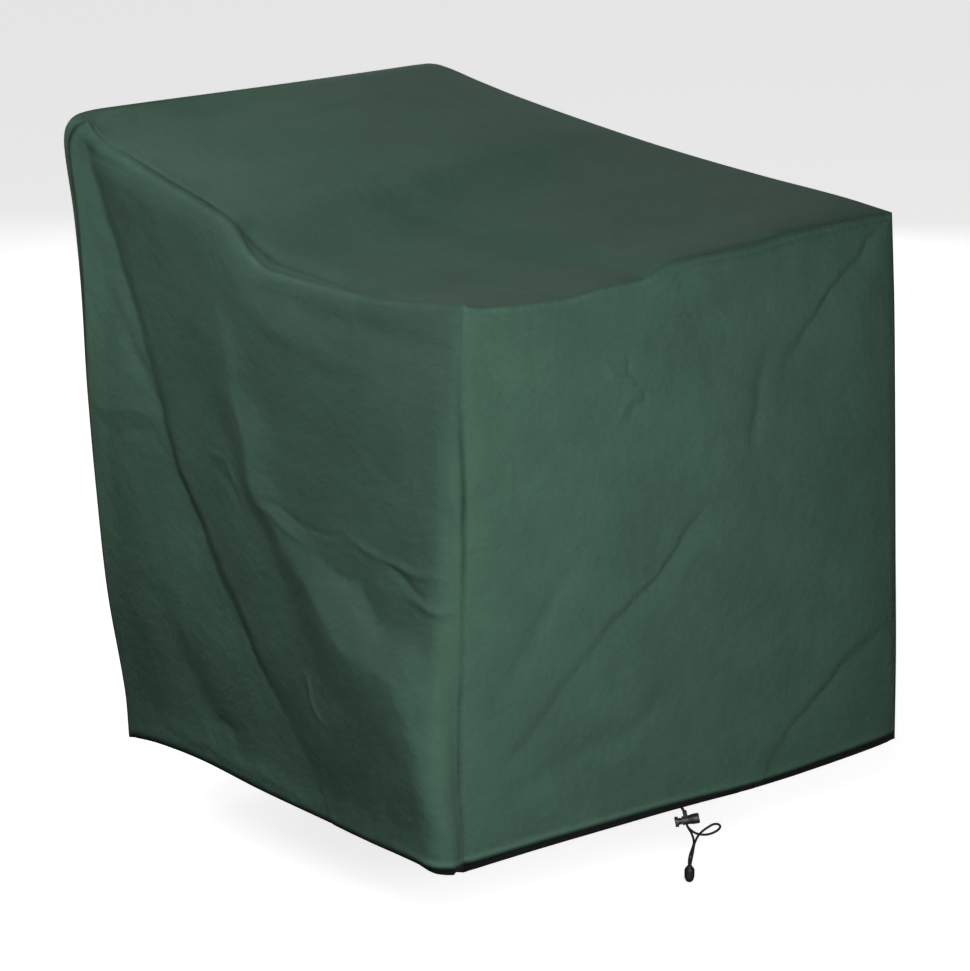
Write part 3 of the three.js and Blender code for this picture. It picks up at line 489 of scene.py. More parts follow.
# Hem of each panel; columns: place along it, height of its painted shade band, how far its rolled edge
# stands out, how strong the painted highlight on it is
HEM_LOOKS = {
    "front_panel": [
        (0, 14, 1.6, 0.8), (40, 14, 2.4, 1), (300, 13, 2.2, 0.8), (420, 10.5, 1.8, 0.4),
        (500, 10.5, 1.2, 0.1), (600, 13, 1.2, 0.2), (735, 13, 1, 0.1)],
    "left_panel": [
        (0, 14, 1.6, 0.8), (30, 13, 2.2, 0.8), (55, 8, 1.6, 0.5), (80, 4.5, 0.8, 0.2), (130, 4, 0.3, 0),
        (740, 4, 0.3, 0)],
    "right_panel": [(0, 12, 1.2, 0.2), (60, 5, 1.8, 0.1), (740, 5, 1.8, 0.1)],
    "back_panel": [(0, 5, 1.8, 0.1), (690, 5, 1.8, 0.1)],
    "top_panel": [(0, 0, 0, 0), (660, 0, 0, 0)],
}

# How dark the painted shade in each seam's groove shows; columns: fraction along it, share
SEAM_SHOWN = {
    "seam_front_left": [
        (0, 0), (0.05, 0.1), (0.085, 0.2), (0.19, 0.47), (0.3, 0.38), (0.44, 0.26), (0.5, 0.3),
        (0.58, 0.68), (0.68, 0.72), (0.75, 0.6), (0.82, 0.3), (0.93, 0.1), (1, 0.1)],
    "seam_top_front": [(0, 0.4), (0.06, 0.1), (0.4, 0.05), (0.47, 0.3), (1, 0.3)],
    "seam_front_right": [(0, 1), (1, 1)],
    "seam_top_back": [(0, 0.6), (1, 0.6)],
    "seam_top_left": [(0, 0.2), (0.3, 0.15), (0.46, 0.3), (0.53, 0.75), (0.82, 0.7), (0.9, 0.2), (1, 0.1)],
}
SEAM_SHOWN_ELSEWHERE = [(0, 0.9), (1, 0.9)]
# How wide the painted shade in a seam's groove shows, in millimetres, and the part of that which is fully
# dark
GROOVE_WIDTH = {"seam_top_right": 15, "seam_top_back": 11}
GROOVE_WIDTH_ELSEWHERE = 6.2
GROOVE_DARK = 0.6
# How strong the painted highlight below an upper seam is; columns: fraction along it, share
UPPER_PAINTED_HIGHLIGHT = {
    "front_panel": [(0, 0.7), (0.2, 0.6), (0.4, 0.4), (0.46, 0), (1, 0)],
    "left_panel": [(0, 0.3), (0.2, 0.5), (0.5, 0.7), (0.56, 0.2), (0.62, 0), (1, 0)],
}

# Folds of each panel (name, kind, line) in its own flat axes: along it from its start edge, up from its
# lower edge. A crease has a sharp top or bottom and straight sides, a round one a blunted top, and a soft
# one is rounded all over. Columns of a line: along, up, height (below zero for a trough), reach to the left
# of the line, reach to its right
FOLDS = {
    "left_panel": [
        ("corner_crease", "round", [
            (738, 739, 0, 8, 3), (713, 726, -8, 30, 30), (700, 701, -12, 44, 90), (693, 664, -14, 56, 160),
            (671, 615, -15, 76, 220), (649, 565, -14.5, 92, 250), (622, 515, -12, 102, 250),
            (590, 468, -9.5, 110, 250), (563, 414, -7.5, 112, 240), (538, 372, -6, 120, 200),
            (502, 328, -5, 140, 150), (457, 270, -4.5, 180, 100), (416, 224, -5, 200, 90),
            (360, 167, -5, 200, 80), (312, 119, -5, 200, 70), (271, 63, -4, 200, 60),
            (248, 20, -3, 200, 54)]),
        ("corner_line", "crease", [
            (725, 733, 0, 5, 12), (708, 719, -2, 6, 16), (700, 701, -3.4, 10, 22), (693, 664, -4.6, 14, 25),
            (671, 615, -6, 18, 27), (650, 565, -7, 26, 28), (625, 515, -8, 44, 30),
            (602, 468, -9.5, 70, 32), (577, 414, -10.5, 110, 26), (553, 372, -11, 130, 26),
            (517, 328, -10, 140, 27), (474, 274, -8.5, 150, 28), (431, 228, -7, 150, 28),
            (373, 171, -5, 150, 30), (325, 122, -3, 150, 30), (284, 70, -1, 150, 26)]),
        ("front_ridge", "round", [
            (436, 645, 1, 60, 30), (431, 616, 3, 80, 36), (415, 582, 6, 90, 40), (409, 542, 8, 76, 44),
            (403, 526, 9, 64, 45), (387, 510, 10, 56, 50), (378, 488, 9, 50, 50), (369, 440, 8, 36, 50),
            (350, 423, 7, 28, 45), (328, 400, 7, 26, 45), (300, 372, 8, 34, 50), (276, 352, 10, 44, 54),
            (248, 330, 13, 60, 58), (220, 301, 15, 80, 60), (180, 270, 17, 100, 60),
            (128, 251, 19, 130, 60), (90, 238, 20, 160, 60), (67, 206, 20, 180, 54), (51, 156, 18, 190, 44),
            (42, 104, 15, 190, 38), (32, 69, 12, 180, 30), (25, 25, 9, 170, 25)]),
        ("lit_edge", "crease", [
            (240, 393, 0, 20, 14), (225, 370, -3, 24, 24), (196, 359, -4, 26, 30), (168, 361, -4, 26, 34),
            (155, 343, -5, 28, 36), (141, 326, -5, 28, 36), (126, 311, -4, 26, 34), (104, 299, -2, 22, 28),
            (75, 302, 0, 18, 20)]),
        ("crumple_high", "crease", [
            (370, 423, 0, 8, 8), (337, 418, 2.2, 9, 9), (311, 403, 2.4, 9, 10), (282, 397, 2.2, 9, 10),
            (250, 391, 0.4, 8, 8)]),
        ("crumple_higher", "crease", [
            (357, 432, 0, 7, 7), (320, 428, -1.8, 8, 8), (282, 417, -2, 8, 8), (239, 413, -2, 8, 8),
            (195, 415, -1, 7, 7)]),
        ("crumple_mid", "crease", [
            (195, 417, 0.4, 7, 7), (159, 408, 2.6, 8, 9), (124, 400, 3.4, 8, 9), (91, 393, 3.4, 8, 9),
            (60, 387, 2.8, 8, 9), (25, 388, 1.4, 7, 8)]),
        ("crumple_low", "crease", [
            (128, 403, -1, 8, 9), (100, 386, -3.6, 10, 11), (80, 370, -4, 10, 11), (58, 360, -2, 9, 9)]),
        ("crumple_seam", "crease", [
            (76, 354, 1, 9, 9), (53, 349, 4, 12, 10), (30, 348, 4.6, 12, 10), (10, 350, 4, 10, 9)]),
        ("wrinkle_by_crease", "crease", [
            (487, 428, 0, 8, 9), (462, 430, 1.6, 8, 9), (438, 434, 1, 8, 9), (422, 424, 2, 8, 8),
            (402, 408, 0.4, 7, 7)]),
        ("pucker_by_crease", "soft", [
            (484, 409, -0.4, 8, 9), (450, 411, -1.4, 9, 10), (424, 407, -1.2, 9, 10),
            (408, 396, -0.3, 8, 8)]),
        ("step_trough", "soft", [
            (333, 706, -2, 18, 16), (208, 700, -3, 20, 18), (112, 696, -3, 20, 18), (30, 684, -2, 18, 16)]),
        ("step_ridge", "soft", [
            (367, 690, 1, 16, 18), (326, 668, 2.4, 16, 26), (274, 662, 2.4, 16, 28), (205, 650, 2, 16, 28),
            (150, 640, 0.6, 16, 24)]),
        ("back_trough", "soft", [
            (700, 340, -0.5, 30, 24), (657, 275, -1.5, 40, 32), (610, 198, -3, 46, 36),
            (575, 145, -4, 46, 36), (533, 94, -4, 42, 34), (482, 66, -2.4, 34, 28)]),
        ("back_pleat", "soft", [
            (690, 572, -1, 13, 13), (668, 536, -2.6, 14, 13), (648, 508, -3.2, 14, 12),
            (620, 478, -2.8, 13, 12), (594, 446, -1, 12, 11)]),
        ("back_bumps", "round", [
            (712, 418, 0.6, 12, 14), (690, 427, 1.8, 13, 16), (655, 432, 1.4, 12, 16),
            (628, 435, 2.4, 10, 14), (598, 429, 0.6, 9, 12)]),
        ("back_bumps_low", "soft", [
            (705, 404, -0.3, 9, 9), (669, 402, -1, 10, 10), (637, 409, -1.4, 10, 10),
            (600, 412, -0.4, 9, 9)]),
        ("hem_gather", "soft", [
            (543, 62, 0, 14, 12), (515, 64, -3, 16, 13), (481, 68, -3, 16, 13), (445, 74, -1, 14, 12)]),
        ("hem_pucker", "soft", [
            (640, 34, 0, 12, 14), (560, 26, 1.6, 12, 14), (470, 24, 2.2, 12, 14), (380, 25, 2, 12, 14),
            (290, 22, 1.2, 12, 14), (220, 20, 0, 12, 12)]),
        ("low_wrinkle", "crease", [
            (275, 214, 0, 7, 6), (268, 203, 1.6, 8, 7), (261, 181, 2.2, 8, 7), (249, 163, 2, 8, 7),
            (234, 151, 1.4, 7, 6), (212, 147, 0, 6, 5)]),
    ],
    "front_panel": [
        ("corner_ridge_high", "crease", [
            (4, 652, 2, 7, 26), (53, 664, 3, 7, 30), (110, 682, 2.4, 7, 26), (150, 690, 0.8, 7, 22)]),
        ("corner_ridge", "crease", [
            (5, 606, 2.4, 8, 44), (50, 618, 3.6, 8, 56), (100, 634, 3.8, 8, 60), (163, 650, 3, 8, 50),
            (217, 656, 1, 8, 36)]),
        ("right_corner_crease", "crease", [
            (722, 702, 0, 8, 5), (689, 686, -4, 26, 9), (665, 658, -7, 38, 12), (613, 623, -8, 44, 15),
            (578, 594, -6, 40, 16), (555, 575, -5, 36, 16), (521, 546, -1.5, 30, 16)]),
        ("short_fall", "soft", [
            (494, 578, -2, 15, 13), (477, 540, -4, 17, 13), (474, 514, -4.4, 17, 13),
            (466, 477, -4, 17, 13), (461, 439, -1.5, 16, 13)]),
        ("short_line_one", "crease", [
            (400, 668, 0, 5, 6), (431, 671, -2, 6, 8), (458, 671, -2, 6, 8), (486, 671, 0, 5, 6)]),
        ("short_line_two", "crease", [(384, 690, 0, 5, 6), (417, 688, -1.6, 6, 8), (451, 687, 0, 5, 6)]),
        ("seam_pinch", "round", [(307, 694, 0, 12, 10), (328, 688, 3, 14, 12), (342, 676, 1, 12, 10)]),
        ("top_line", "crease", [
            (280, 645, 1, 5, 8), (310, 644, 3, 5, 8), (350, 641, 3, 5, 8), (380, 638, 0.5, 5, 8)]),
        ("crumple", "crease", [
            (217, 626, 0, 8, 8), (229, 606, 2.4, 9, 8), (245, 592, 3, 9, 8), (270, 583, 3, 8, 8),
            (278, 575, 2.6, 8, 8), (264, 566, 2.8, 8, 8), (248, 553, 2.6, 8, 8), (236, 540, 2, 8, 8),
            (219, 526, 0, 7, 7)]),
        ("crumple_beside", "crease", [
            (256, 628, 0, 6, 7), (262, 612, -2.6, 7, 8), (262, 596, -2.4, 7, 8), (284, 562, -2.8, 7, 8),
            (262, 548, -2.4, 7, 8), (244, 520, 0, 6, 7)]),
        ("long_crease", "crease", [
            (390, 402, 0, 10, 6), (371, 385, -2.4, 20, 8), (358, 372, -4, 26, 9), (342, 358, -4.8, 28, 10),
            (317, 331, -5.2, 30, 11), (272, 302, -5.2, 30, 12), (247, 286, -4.8, 30, 12),
            (223, 271, -4.4, 30, 13), (204, 255, -3.6, 32, 13), (190, 239, -3.4, 34, 14),
            (172, 222, -3.4, 34, 16), (129, 179, -3, 34, 18), (105, 157, -2.4, 32, 18),
            (64, 121, -1, 26, 16)]),
        ("second_crease", "soft", [
            (173, 375, -1, 14, 12), (153, 352, -2.6, 15, 13), (129, 319, -3.2, 16, 14),
            (100, 271, -3, 18, 16), (50, 216, -1.4, 18, 16)]),
        ("low_soft", "soft", [
            (342, 169, -1, 20, 20), (306, 153, -3, 22, 22), (265, 129, -4, 24, 24), (206, 120, -4, 24, 24),
            (144, 103, -3, 22, 22), (78, 78, -1.4, 20, 20)]),
        ("right_fall", "crease", [
            (725, 160, 2, 70, 120), (690, 148, 6, 84, 180), (650, 131, 9, 95, 220), (600, 106, 9, 95, 220),
            (550, 76, 6, 88, 180), (490, 34, 2, 70, 100)]),
        ("right_fall_edge", "crease", [
            (708, 169, -1.6, 50, 12), (685, 163, -3.6, 60, 14), (662, 154, -5, 66, 15),
            (640, 143, -5.8, 70, 16), (618, 129, -6, 70, 16), (592, 111, -6, 70, 16),
            (564, 92, -5.4, 66, 15), (541, 75, -4.6, 60, 14), (522, 58, -4, 56, 13), (505, 42, -3, 50, 12),
            (492, 28, -2, 46, 10)]),
        ("edge_turn", "soft", [
            (650, 690, 1.5, 85, 150), (645, 560, 4.5, 90, 200), (640, 400, 5.5, 90, 200),
            (640, 240, 5.5, 90, 200), (640, 120, 3.5, 90, 200), (640, -60, 0.6, 90, 200)]),
        ("hem_line_one", "crease", [
            (565, 72, 0, 5, 6), (600, 64, -1.4, 6, 8), (640, 54, -1.4, 6, 8), (668, 46, 0, 5, 6)]),
        ("hem_line_two", "crease", [(555, 50, 0, 5, 6), (600, 38, -1.2, 6, 8), (645, 25, 0, 5, 6)]),
        ("seam_tuck_one", "crease", [(1, 404, -1, 5, 6), (20, 407, -1.6, 6, 8), (44, 408, 0, 5, 6)]),
        ("seam_tuck_two", "crease", [(5, 352, -1, 5, 6), (28, 355, -1.6, 6, 8), (54, 358, 0, 5, 6)]),
        ("seam_tuck_three", "crease", [(26, 332, 0, 5, 6), (60, 328, -1.2, 6, 8), (98, 324, 0, 5, 6)]),
        ("seam_tuck_four", "crease", [(16, 190, 0, 5, 6), (50, 194, -1.4, 6, 8), (84, 206, 0, 5, 6)]),
    ],
    "right_panel": [
        ("corner_crease", "soft", [
            (725, 735, -1, 10, 10), (650, 640, -6, 30, 26), (560, 500, -9, 40, 32), (480, 360, -9, 44, 36),
            (400, 200, -7, 44, 36), (330, 60, -5, 40, 34)]),
        ("front_fall", "soft", [
            (60, 690, 3, 24, 24), (110, 560, 7, 34, 34), (150, 400, 8, 40, 40), (170, 220, 6, 40, 40),
            (180, 60, 4, 36, 36)]),
        ("middle_fall", "soft", [
            (330, 640, -2, 24, 24), (290, 500, -6, 32, 32), (270, 340, -6, 34, 34),
            (250, 180, -4, 34, 34)]),
    ],
    "back_panel": [
        ("left_fall", "soft", [
            (90, 740, 2, 24, 24), (130, 560, 7, 36, 36), (160, 360, 9, 42, 42), (150, 180, 7, 42, 42),
            (140, 50, 5, 40, 40)]),
        ("middle_fall", "soft", [
            (350, 640, -2, 26, 26), (340, 480, -7, 40, 40), (360, 300, -8, 44, 44),
            (350, 120, -6, 42, 42)]),
        ("right_fall", "soft", [
            (600, 740, 2, 24, 24), (560, 540, 7, 36, 36), (540, 340, 8, 42, 42), (560, 160, 6, 40, 40)]),
    ],
    "top_panel": [
        ("left_trough", "soft", [
            (4, 500, -3, 12, 12), (24, 465, -5, 13, 13), (40, 406, -6, 14, 14), (34, 290, -6, 13, 15),
            (30, 206, -5, 12, 15), (22, 103, -2.4, 10, 12)]),
        ("back_tuck", "crease", [(25, 844, 0, 6, 5), (17, 826, -3, 6, 5), (9, 806, 0, 5, 5)]),
        ("back_line", "soft", [(316, 712, -1, 14, 14), (355, 718, -2, 16, 16), (394, 724, -1, 14, 14)]),
        ("front_line", "soft", [(385, 161, -1, 18, 18), (335, 104, -2, 22, 22), (285, 46, -1, 18, 18)]),
        ("seat_light", "soft", [(74, 367, 2, 20, 20), (119, 336, 3, 24, 24), (183, 281, 1, 20, 20)]),
    ],
}
# Broad swells; columns: along, up, reach along, reach up, height
SWELLS = {
    "left_panel": [(620, 250, 110, 140, 6), (170, 560, 150, 120, 5)],
    "front_panel": [(380, 420, 240, 220, 6)],
    "right_panel": [(600, 200, 120, 150, 8), (330, 560, 150, 120, 6)],
    "back_panel": [(345, 600, 220, 120, -6)],
    "top_panel": [(330, 700, 240, 110, 4), (330, 130, 220, 90, -4)],
}
# Sewn lines beside the seams (kind, line); columns as for the folds
SEAM_LINES = {
    "top_panel": [
        ("soft", [(350, 7, 0, 3, 3), (420, 7, -1.6, 3.2, 3.2), (560, 7, -1.8, 3.2, 3.2), (650, 6, -1, 3, 3)]),
        ("soft", [(14, 742, 0, 4, 5), (12, 660, 1.4, 4, 5), (11, 560, 1.4, 4, 5), (10, 500, 0, 4, 5)]),
    ],
    "front_panel": [
        ("soft", [(350, 702, 0, 3, 3), (420, 702, -1.4, 3, 3), (560, 702, -1.6, 3, 3), (725, 704, -1, 3, 3)]),
    ],
}
# Across a fold, as shares of its reach: how softly it ends, how blunt a round one's top is
CREASE_END = 0.18
CREST_ROUND = 0.16
# Along a fold: how its stretches blend beside its line and away from it, its steps between two rows,
# and how many reaches away it is left out
LINE_BLEND = 3
FAR_BLEND = 0.25
CURVE_STEPS = 5
FOLD_MARGIN = 3.2
# Sizes of the slow and the quick wandering of the folds
WANDER_SLOW = 2.6
WANDER_ALONG = 1.3
WANDER_UP = 1.2


def edge_points(name, t):
    """Places along a seam or hem: its straight line and its bends away from that."""
    start, end, bends = EDGES[name]
    rows = [(0, 0, 0, 0), *bends, (1, 0, 0, 0)]
    straight = np.outer(1 - t, CORNERS[start]) + np.outer(t, CORNERS[end])
    return straight + smooth_rows(rows, t)


def stretched(panel, u, v):
    """Sheet pulled smooth between the panel's four edges."""
    lower, upper = edge_points(panel["lower"][0], u), edge_points(panel["upper"][0], u)
    start, end = edge_points(panel["start"][0], v), edge_points(panel["end"][0], v)
    along, up = u[:, None, None], v[None, :, None]
    points = (1 - up) * lower[:, None] + up * upper[:, None] + (1 - along) * start[None] + along * end[None]
    corners = ((1 - along) * (1 - up) * lower[0] + along * (1 - up) * lower[-1]
               + (1 - along) * up * upper[0] + along * up * upper[-1])
    return points - corners


def grid_normals(points, outward):
    """Directions straight out of a sheet."""
    normal = np.cross(np.gradient(points, axis=0), np.gradient(points, axis=1))
    return normal / np.linalg.norm(normal, axis=2, keepdims=True) * outward


def profile(kind, t):
    """Height of a fold across it, one on its line: a soft one fades past its reach, the others end there."""
    if kind == "soft":
        return np.exp(-t ** 2)
    if kind == "round":
        t = np.sqrt(t ** 2 + CREST_ROUND ** 2) - CREST_ROUND
    return ((1 - t) + np.sqrt((1 - t) ** 2 + CREASE_END ** 2)) / (1 + math.sqrt(1 + CREASE_END ** 2))


def wandered(a, b):
    """The flat axes shifted a little this way and that, so that no fold runs dead straight."""
    along = WANDER_SLOW * np.sin(b / 21 + 1.3) * np.sin(a / 47) + WANDER_ALONG * np.sin(b / 9.5 + a / 14)
    up = WANDER_SLOW * np.sin(a / 23 + 0.4) * np.sin(b / 41 + 0.8) + WANDER_UP * np.sin(a / 10.5 - b / 13)
    return a + along, b + up


def fold_relief(kind, places, a, b):
    """Height of one fold all over a panel: its stretches, blended where they meet."""
    places = np.asarray(places, float)
    relief = np.zeros(a.shape)
    margin = FOLD_MARGIN * places[:, 3:].max()
    near = ((a > places[:, 0].min() - margin) & (a < places[:, 0].max() + margin)
            & (b > places[:, 1].min() - margin) & (b < places[:, 1].max() + margin))
    x, y = a[near], b[near]
    count = len(places) - 1
    rows = np.column_stack([np.arange(count + 1), places])
    line = smooth_rows(rows, np.linspace(0, count, CURVE_STEPS * count + 1))
    stretches = []
    for p, q in zip(line[:-1], line[1:]):
        dx, dy = q[0] - p[0], q[1] - p[1]
        s = np.clip(((x - p[0]) * dx + (y - p[1]) * dy) / (dx * dx + dy * dy), 0, 1)
        ox, oy = x - p[0] - s * dx, y - p[1] - s * dy
        distance = np.hypot(ox, oy)
        reach = np.where(dx * oy - dy * ox > 0, p[3] + s * (q[3] - p[3]), p[4] + s * (q[4] - p[4]))
        stretches.append((distance, (p[2] + s * (q[2] - p[2])) * profile(kind, distance / reach)))
    nearest = np.minimum.reduce([distance for distance, _ in stretches])
    total, height = 0, 0
    for distance, size in stretches:
        weight = np.exp((nearest - distance) / (LINE_BLEND + FAR_BLEND * nearest))
        total = total + weight
        height = height + weight * size
    relief[near] = height / total
    return relief


def eased(t):
    """Smooth rise from nothing at zero to one at one."""
    t = np.clip(t, 0, 1)
    return t * t * (3 - 2 * t)


def beside_seams(panel, a, b):
    """Distance to the nearest seam, how far the cloth rolls up from it, and how dark the painted shade in its
    groove shows.
    """
    width, height = panel["width"], panel["height"]
    sides = [("start", a, b / height), ("end", width - a, b / height), ("upper", height - b, a / width)]
    if not panel["curl"]:
        sides.append(("lower", b, a / width))
    from_seam = np.minimum.reduce([distance for _, distance, _ in sides])
    broad, tight, shown, total = 0, 0, 0, 0
    for side, distance, fraction in sides:
        seam, broad_roll, tight_roll = panel[side]
        groove_width = GROOVE_WIDTH.get(seam, GROOVE_WIDTH_ELSEWHERE)
        # Painted shade in the seam's groove, fading out across the groove's width
        groove = np.clip((groove_width - distance) / (groove_width - GROOVE_DARK), 0, 1)
        share, = read_off(SEAM_SHOWN.get(seam, SEAM_SHOWN_ELSEWHERE), fraction)
        closeness = 1 / (distance + 1) ** 2
        broad = broad + broad_roll * closeness
        tight = tight + tight_roll * closeness
        shown = shown + share * groove * closeness
        total = total + closeness
    roll = broad / total * (1 - np.exp(-from_seam / SEAM_ROLL_REACH))
    roll += tight / total * (1 - np.exp(-from_seam / SEAM_TIGHT_REACH))
    return from_seam, roll, shown / total


def swell_relief(swell, a, b):
    """Height of one broad swell all over a panel."""
    x, y, reach_along, reach_up, size = swell
    return size * np.exp(-((a - x) / reach_along) ** 2 - ((b - y) / reach_up) ** 2)


def hem_relief(name, a, b):
    """The hem curls in below its rolled edge, which stands out; both fade at the panel's ends."""
    panel = PANELS[name]
    fade = np.clip(np.minimum(a, panel["width"] - a) / HEM_END_REACH, 0, 1)
    _, ridge, _ = read_off(HEM_LOOKS[name], a)
    stands_out = ridge * np.exp(-((b - HEM_CURL_HEIGHT) / HEM_RIDGE_REACH) ** 2)
    curls_in = panel["curl"] * np.clip(1 - b / HEM_CURL_HEIGHT, 0, 1) ** 2
    return fade * (stands_out - curls_in)


def surface(name, u, v):
    """Outer side of a panel, the places along and up its cut, and what is beside its seams."""
    panel = PANELS[name]
    base = stretched(panel, u, v)
    a = np.outer(u * panel["width"], np.ones(len(v)))
    b = np.outer(np.ones(len(u)), v * panel["height"])
    from_seam, relief, groove = beside_seams(panel, a, b)
    wander = wandered(a, b)
    for _, kind, places in FOLDS[name]:
        relief += eased(from_seam / SEAM_CALM_REACH) * fold_relief(kind, places, *wander)
    for swell in SWELLS[name]:
        relief += eased(from_seam / SWELL_CALM_REACH) * swell_relief(swell, a, b)
    for kind, places in SEAM_LINES.get(name, []):
        relief += fold_relief(kind, places, a, b)
    if panel["curl"]:
        relief += hem_relief(name, a, b)
    normal = grid_normals(base, panel["outward"])
    return base + normal * relief[:, :, None], a, b, from_seam, groove


# Panel grids: the share of each side that has close rows, how many, and how they crowd
EDGE_BAND = 0.04
EDGE_STEPS = 20
EDGE_CROWDING = 1.3


def graded(middle):
    """Places from 0 to 1, close together near both ends."""
    rise = EDGE_BAND * (np.arange(EDGE_STEPS) / EDGE_STEPS) ** EDGE_CROWDING
    return np.concatenate([rise, np.linspace(EDGE_BAND, 1 - EDGE_BAND, middle + 1), 1 - rise[::-1]])


def draw_back(points):
    """Rims moved in a little from the seams they share, so that neighbours meet without showing light."""
    for rim, inside in ((np.s_[0], np.s_[1]), (np.s_[-1], np.s_[-2]), (np.s_[:, 0], np.s_[:, 1]),
                        (np.s_[:, -1], np.s_[:, -2])):
        way = points[inside] - points[rim]
        points[rim] += SEAM_PULL * way / np.linalg.norm(way, axis=-1, keepdims=True)
    return points


def sheet_faces(out, ins, outward):
    """Faces of a closed sheet: a fine outer side, an inner side of half as many rows, a rim between them."""
    quads = [np.stack([out[:-1, :-1], out[1:, :-1], out[1:, 1:], out[:-1, 1:]], -1).reshape(-1, 4),
             np.stack([ins[:-1, :-1], ins[:-1, 1:], ins[1:, 1:], ins[1:, :-1]], -1).reshape(-1, 4)]
    rims = [(out[:, 0], ins[:, 0]), (out[-1], ins[-1]),
            (out[::-1, -1], ins[::-1, -1]), (out[0, ::-1], ins[0, ::-1])]
    triangles = []
    for fine, coarse in rims:
        first, middle, last = fine[:-1:2], fine[1::2], fine[2::2]
        near, far = coarse[:-1], coarse[1:]
        for corners in ((first, near, middle), (middle, near, far), (middle, far, last)):
            triangles.append(np.stack(corners, -1))
    faces = [tuple(face) for part in quads + triangles for face in part.tolist()]
    if outward < 0:
        faces = [face[::-1] for face in faces]
    return faces


def both_sides(grid):
    """Values on the outer side's grid, then on the inner side's, which has every second row."""
    return np.concatenate([grid.ravel(), grid[::2, ::2].ravel()])


def add_layers(mesh, name, a, b, from_seam, groove):
    """Axes along the cloth and along its seams, in metres, and its painted hem shade, painted highlights and
    painted shade in the seam grooves.
    """
    panel = PANELS[name]
    beside_end = np.minimum(a, panel["width"] - a) <= from_seam + 1e-6
    along_seam = np.where(beside_end, b, a)
    spot = np.empty(len(mesh.loops), int)
    mesh.loops.foreach_get("vertex_index", spot)
    for layer, pair in (("cloth", (a, b)), ("seam", (from_seam, along_seam))):
        uv = mesh.uv_layers.new(name=layer)
        uv.data.foreach_set("uv", np.column_stack([both_sides(grid)[spot] / 1000 for grid in pair]).ravel())
    # Painted shade up to the band's height along the hem
    band, _, share = read_off(HEM_LOOKS[name], a)
    hem_shaded = np.clip((band - b) / HEM_SHADE_EDGE + 0.5, 0, 1) * (band > 0)
    # Painted highlights: a line above the hem's painted shade band and a line below an upper seam
    worn = share * np.exp(-((b - band - HIGHLIGHT_ABOVE_SHADE) / HIGHLIGHT_REACH) ** 2)
    if name in UPPER_PAINTED_HIGHLIGHT:
        share, = read_off(UPPER_PAINTED_HIGHLIGHT[name], a / panel["width"])
        worn += share * np.exp(-((panel["height"] - b - HIGHLIGHT_BELOW_SEAM) / HIGHLIGHT_REACH) ** 2)
    for layer, grid in (("hem_band", hem_shaded), ("worn", worn), ("stitched", groove)):
        mesh.attributes.new(layer, "FLOAT", "POINT").data.foreach_set("value", both_sides(grid))


def sharpen_rims(mesh, out, ins):
    """Sharp edges round the outer side and round the inner side."""
    rim = np.zeros(len(mesh.vertices), bool)
    for grid in (out, ins):
        for line in (grid[0], grid[-1], grid[:, 0], grid[:, -1]):
            rim[line] = True
    ends = np.empty(2 * len(mesh.edges), int)
    mesh.edges.foreach_get("vertices", ends)
    ends = ends.reshape(-1, 2)
    outer_side = ends < out.size
    sharp = rim[ends].all(axis=1) & (outer_side[:, 0] == outer_side[:, 1])
    mesh.attributes.new("sharp_edge", "BOOLEAN", "EDGE").data.foreach_set("value", sharp)


def make_panel(name):
    panel = PANELS[name]
    middle = panel["middle"]
    u = v = graded(middle)
    outer, *layers = surface(name, u, v)
    inner = (outer - grid_normals(outer, panel["outward"]) * SHEET)[::2, ::2]
    out = np.arange(outer[..., 0].size).reshape(outer.shape[:2])
    ins = out.size + np.arange(inner[..., 0].size).reshape(inner.shape[:2])
    verts = np.concatenate([draw_back(outer).reshape(-1, 3), draw_back(inner).reshape(-1, 3)])
    faces = sheet_faces(out, ins, panel["outward"])
    made = add_object(name + "_cloth", row_frame(verts).tolist(), faces, CLOTH)
    add_layers(made.data, name, *layers)
    sharpen_rims(made.data, out, ins)
    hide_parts(name)


for name in PANELS:
    make_panel(name)


# Floor and light
FLOOR_Z = -0.806
FLOOR_HALF = 30
FLOOR_DARK = (0.80, 0.80, 0.79, 1)
FLOOR_LIGHT = (0.84, 0.84, 0.83, 1)
FLOOR_GLOW = 0.78
WORLD_GLOW = 0.9
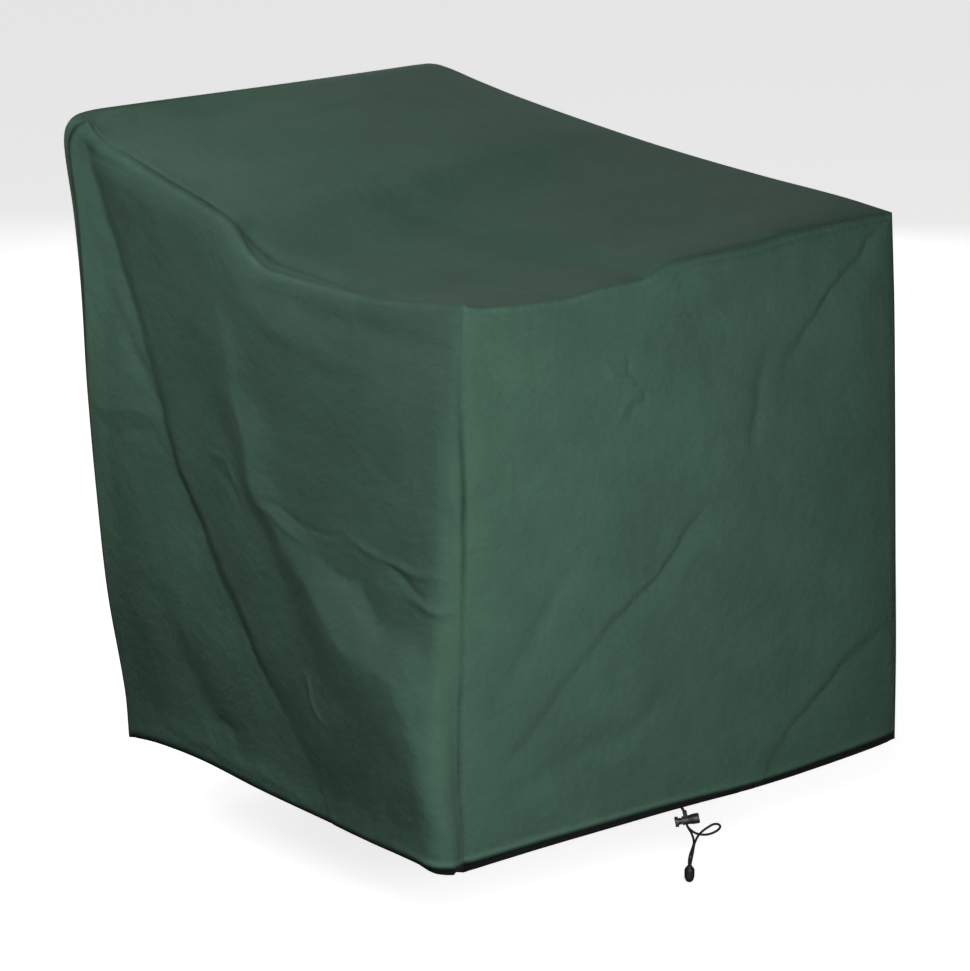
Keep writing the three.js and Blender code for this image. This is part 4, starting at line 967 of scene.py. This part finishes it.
# Columns: name, place, target, diameter, watts
LIGHTS = [
    ("front_low", (-0.681, -1.972, -0.126), (0, -0.1, -0.3), 0.6, 11.7),
    ("front_left_low", (-1.143, -1.732, -0.126), (0, -0.1, -0.3), 0.6, 13.3),
    ("front_left", (-1.208, -1.54, 0.384), (0, -0.1, -0.3), 0.6, 11.1),
    ("above_left", (-1.0, 0.4, 1.0), (-0.2, 0.3, 0), 0.5, 12),
    ("above_back", (-0.5, 2.0, 2.2), (0, 0.2, 0), 1.5, 15),
    ("behind", (2.4, 2.6, 0.5), (0, 0.1, -0.3), 1.6, 30),
]


def make_floor():
    """Pale floor that shows the cover's shadow and throws no light on it."""
    s = Shader("floor_pale")
    place = s.node("ShaderNodeTexCoord").outputs["Object"]
    s.set(Base_Color=s.mix(s.noise(place, scale=3.0, detail=2.0), FLOOR_DARK, FLOOR_LIGHT))
    s.principled.inputs["Roughness"].default_value = 0.9
    s.principled.inputs["Specular IOR Level"].default_value = 0.1
    s.principled.inputs["Emission Color"].default_value = (1, 1, 1, 1)
    s.principled.inputs["Emission Strength"].default_value = FLOOR_GLOW
    mesh = bpy.data.meshes.new("floor")
    corners = [(x * FLOOR_HALF, y * FLOOR_HALF, FLOOR_Z) for x, y in ((-1, -1), (1, -1), (1, 1), (-1, 1))]
    mesh.from_pydata(corners, [], [(0, 1, 2, 3)])
    mesh.materials.append(s.material)
    floor = bpy.data.objects.new("floor", mesh)
    bpy.context.scene.collection.objects.link(floor)
    floor.visible_diffuse = False
    floor.visible_glossy = False


def make_light(name, place, target, size, power):
    data = bpy.data.lights.new(name, "AREA")
    data.shape = "DISK"
    data.size = size
    data.energy = power
    light = bpy.data.objects.new(name, data)
    bpy.context.scene.collection.objects.link(light)
    light.visible_camera = False
    aim = Vector(target) - Vector(place)
    light.matrix_world = Matrix.Translation(place) @ aim.to_track_quat("-Z", "Y").to_matrix().to_4x4()


def make_world():
    """White studio walls that show behind the cover and don't light it."""
    world = bpy.data.worlds.new("studio")
    world.use_nodes = True
    background = world.node_tree.nodes["Background"]
    background.inputs["Color"].default_value = (1, 1, 1, 1)
    background.inputs["Strength"].default_value = WORLD_GLOW
    world.cycles_visibility.diffuse = False
    world.cycles_visibility.glossy = False
    bpy.context.scene.world = world


make_floor()
for row in LIGHTS:
    make_light(*row)
make_world()
bpy.context.scene.view_settings.view_transform = "Standard"
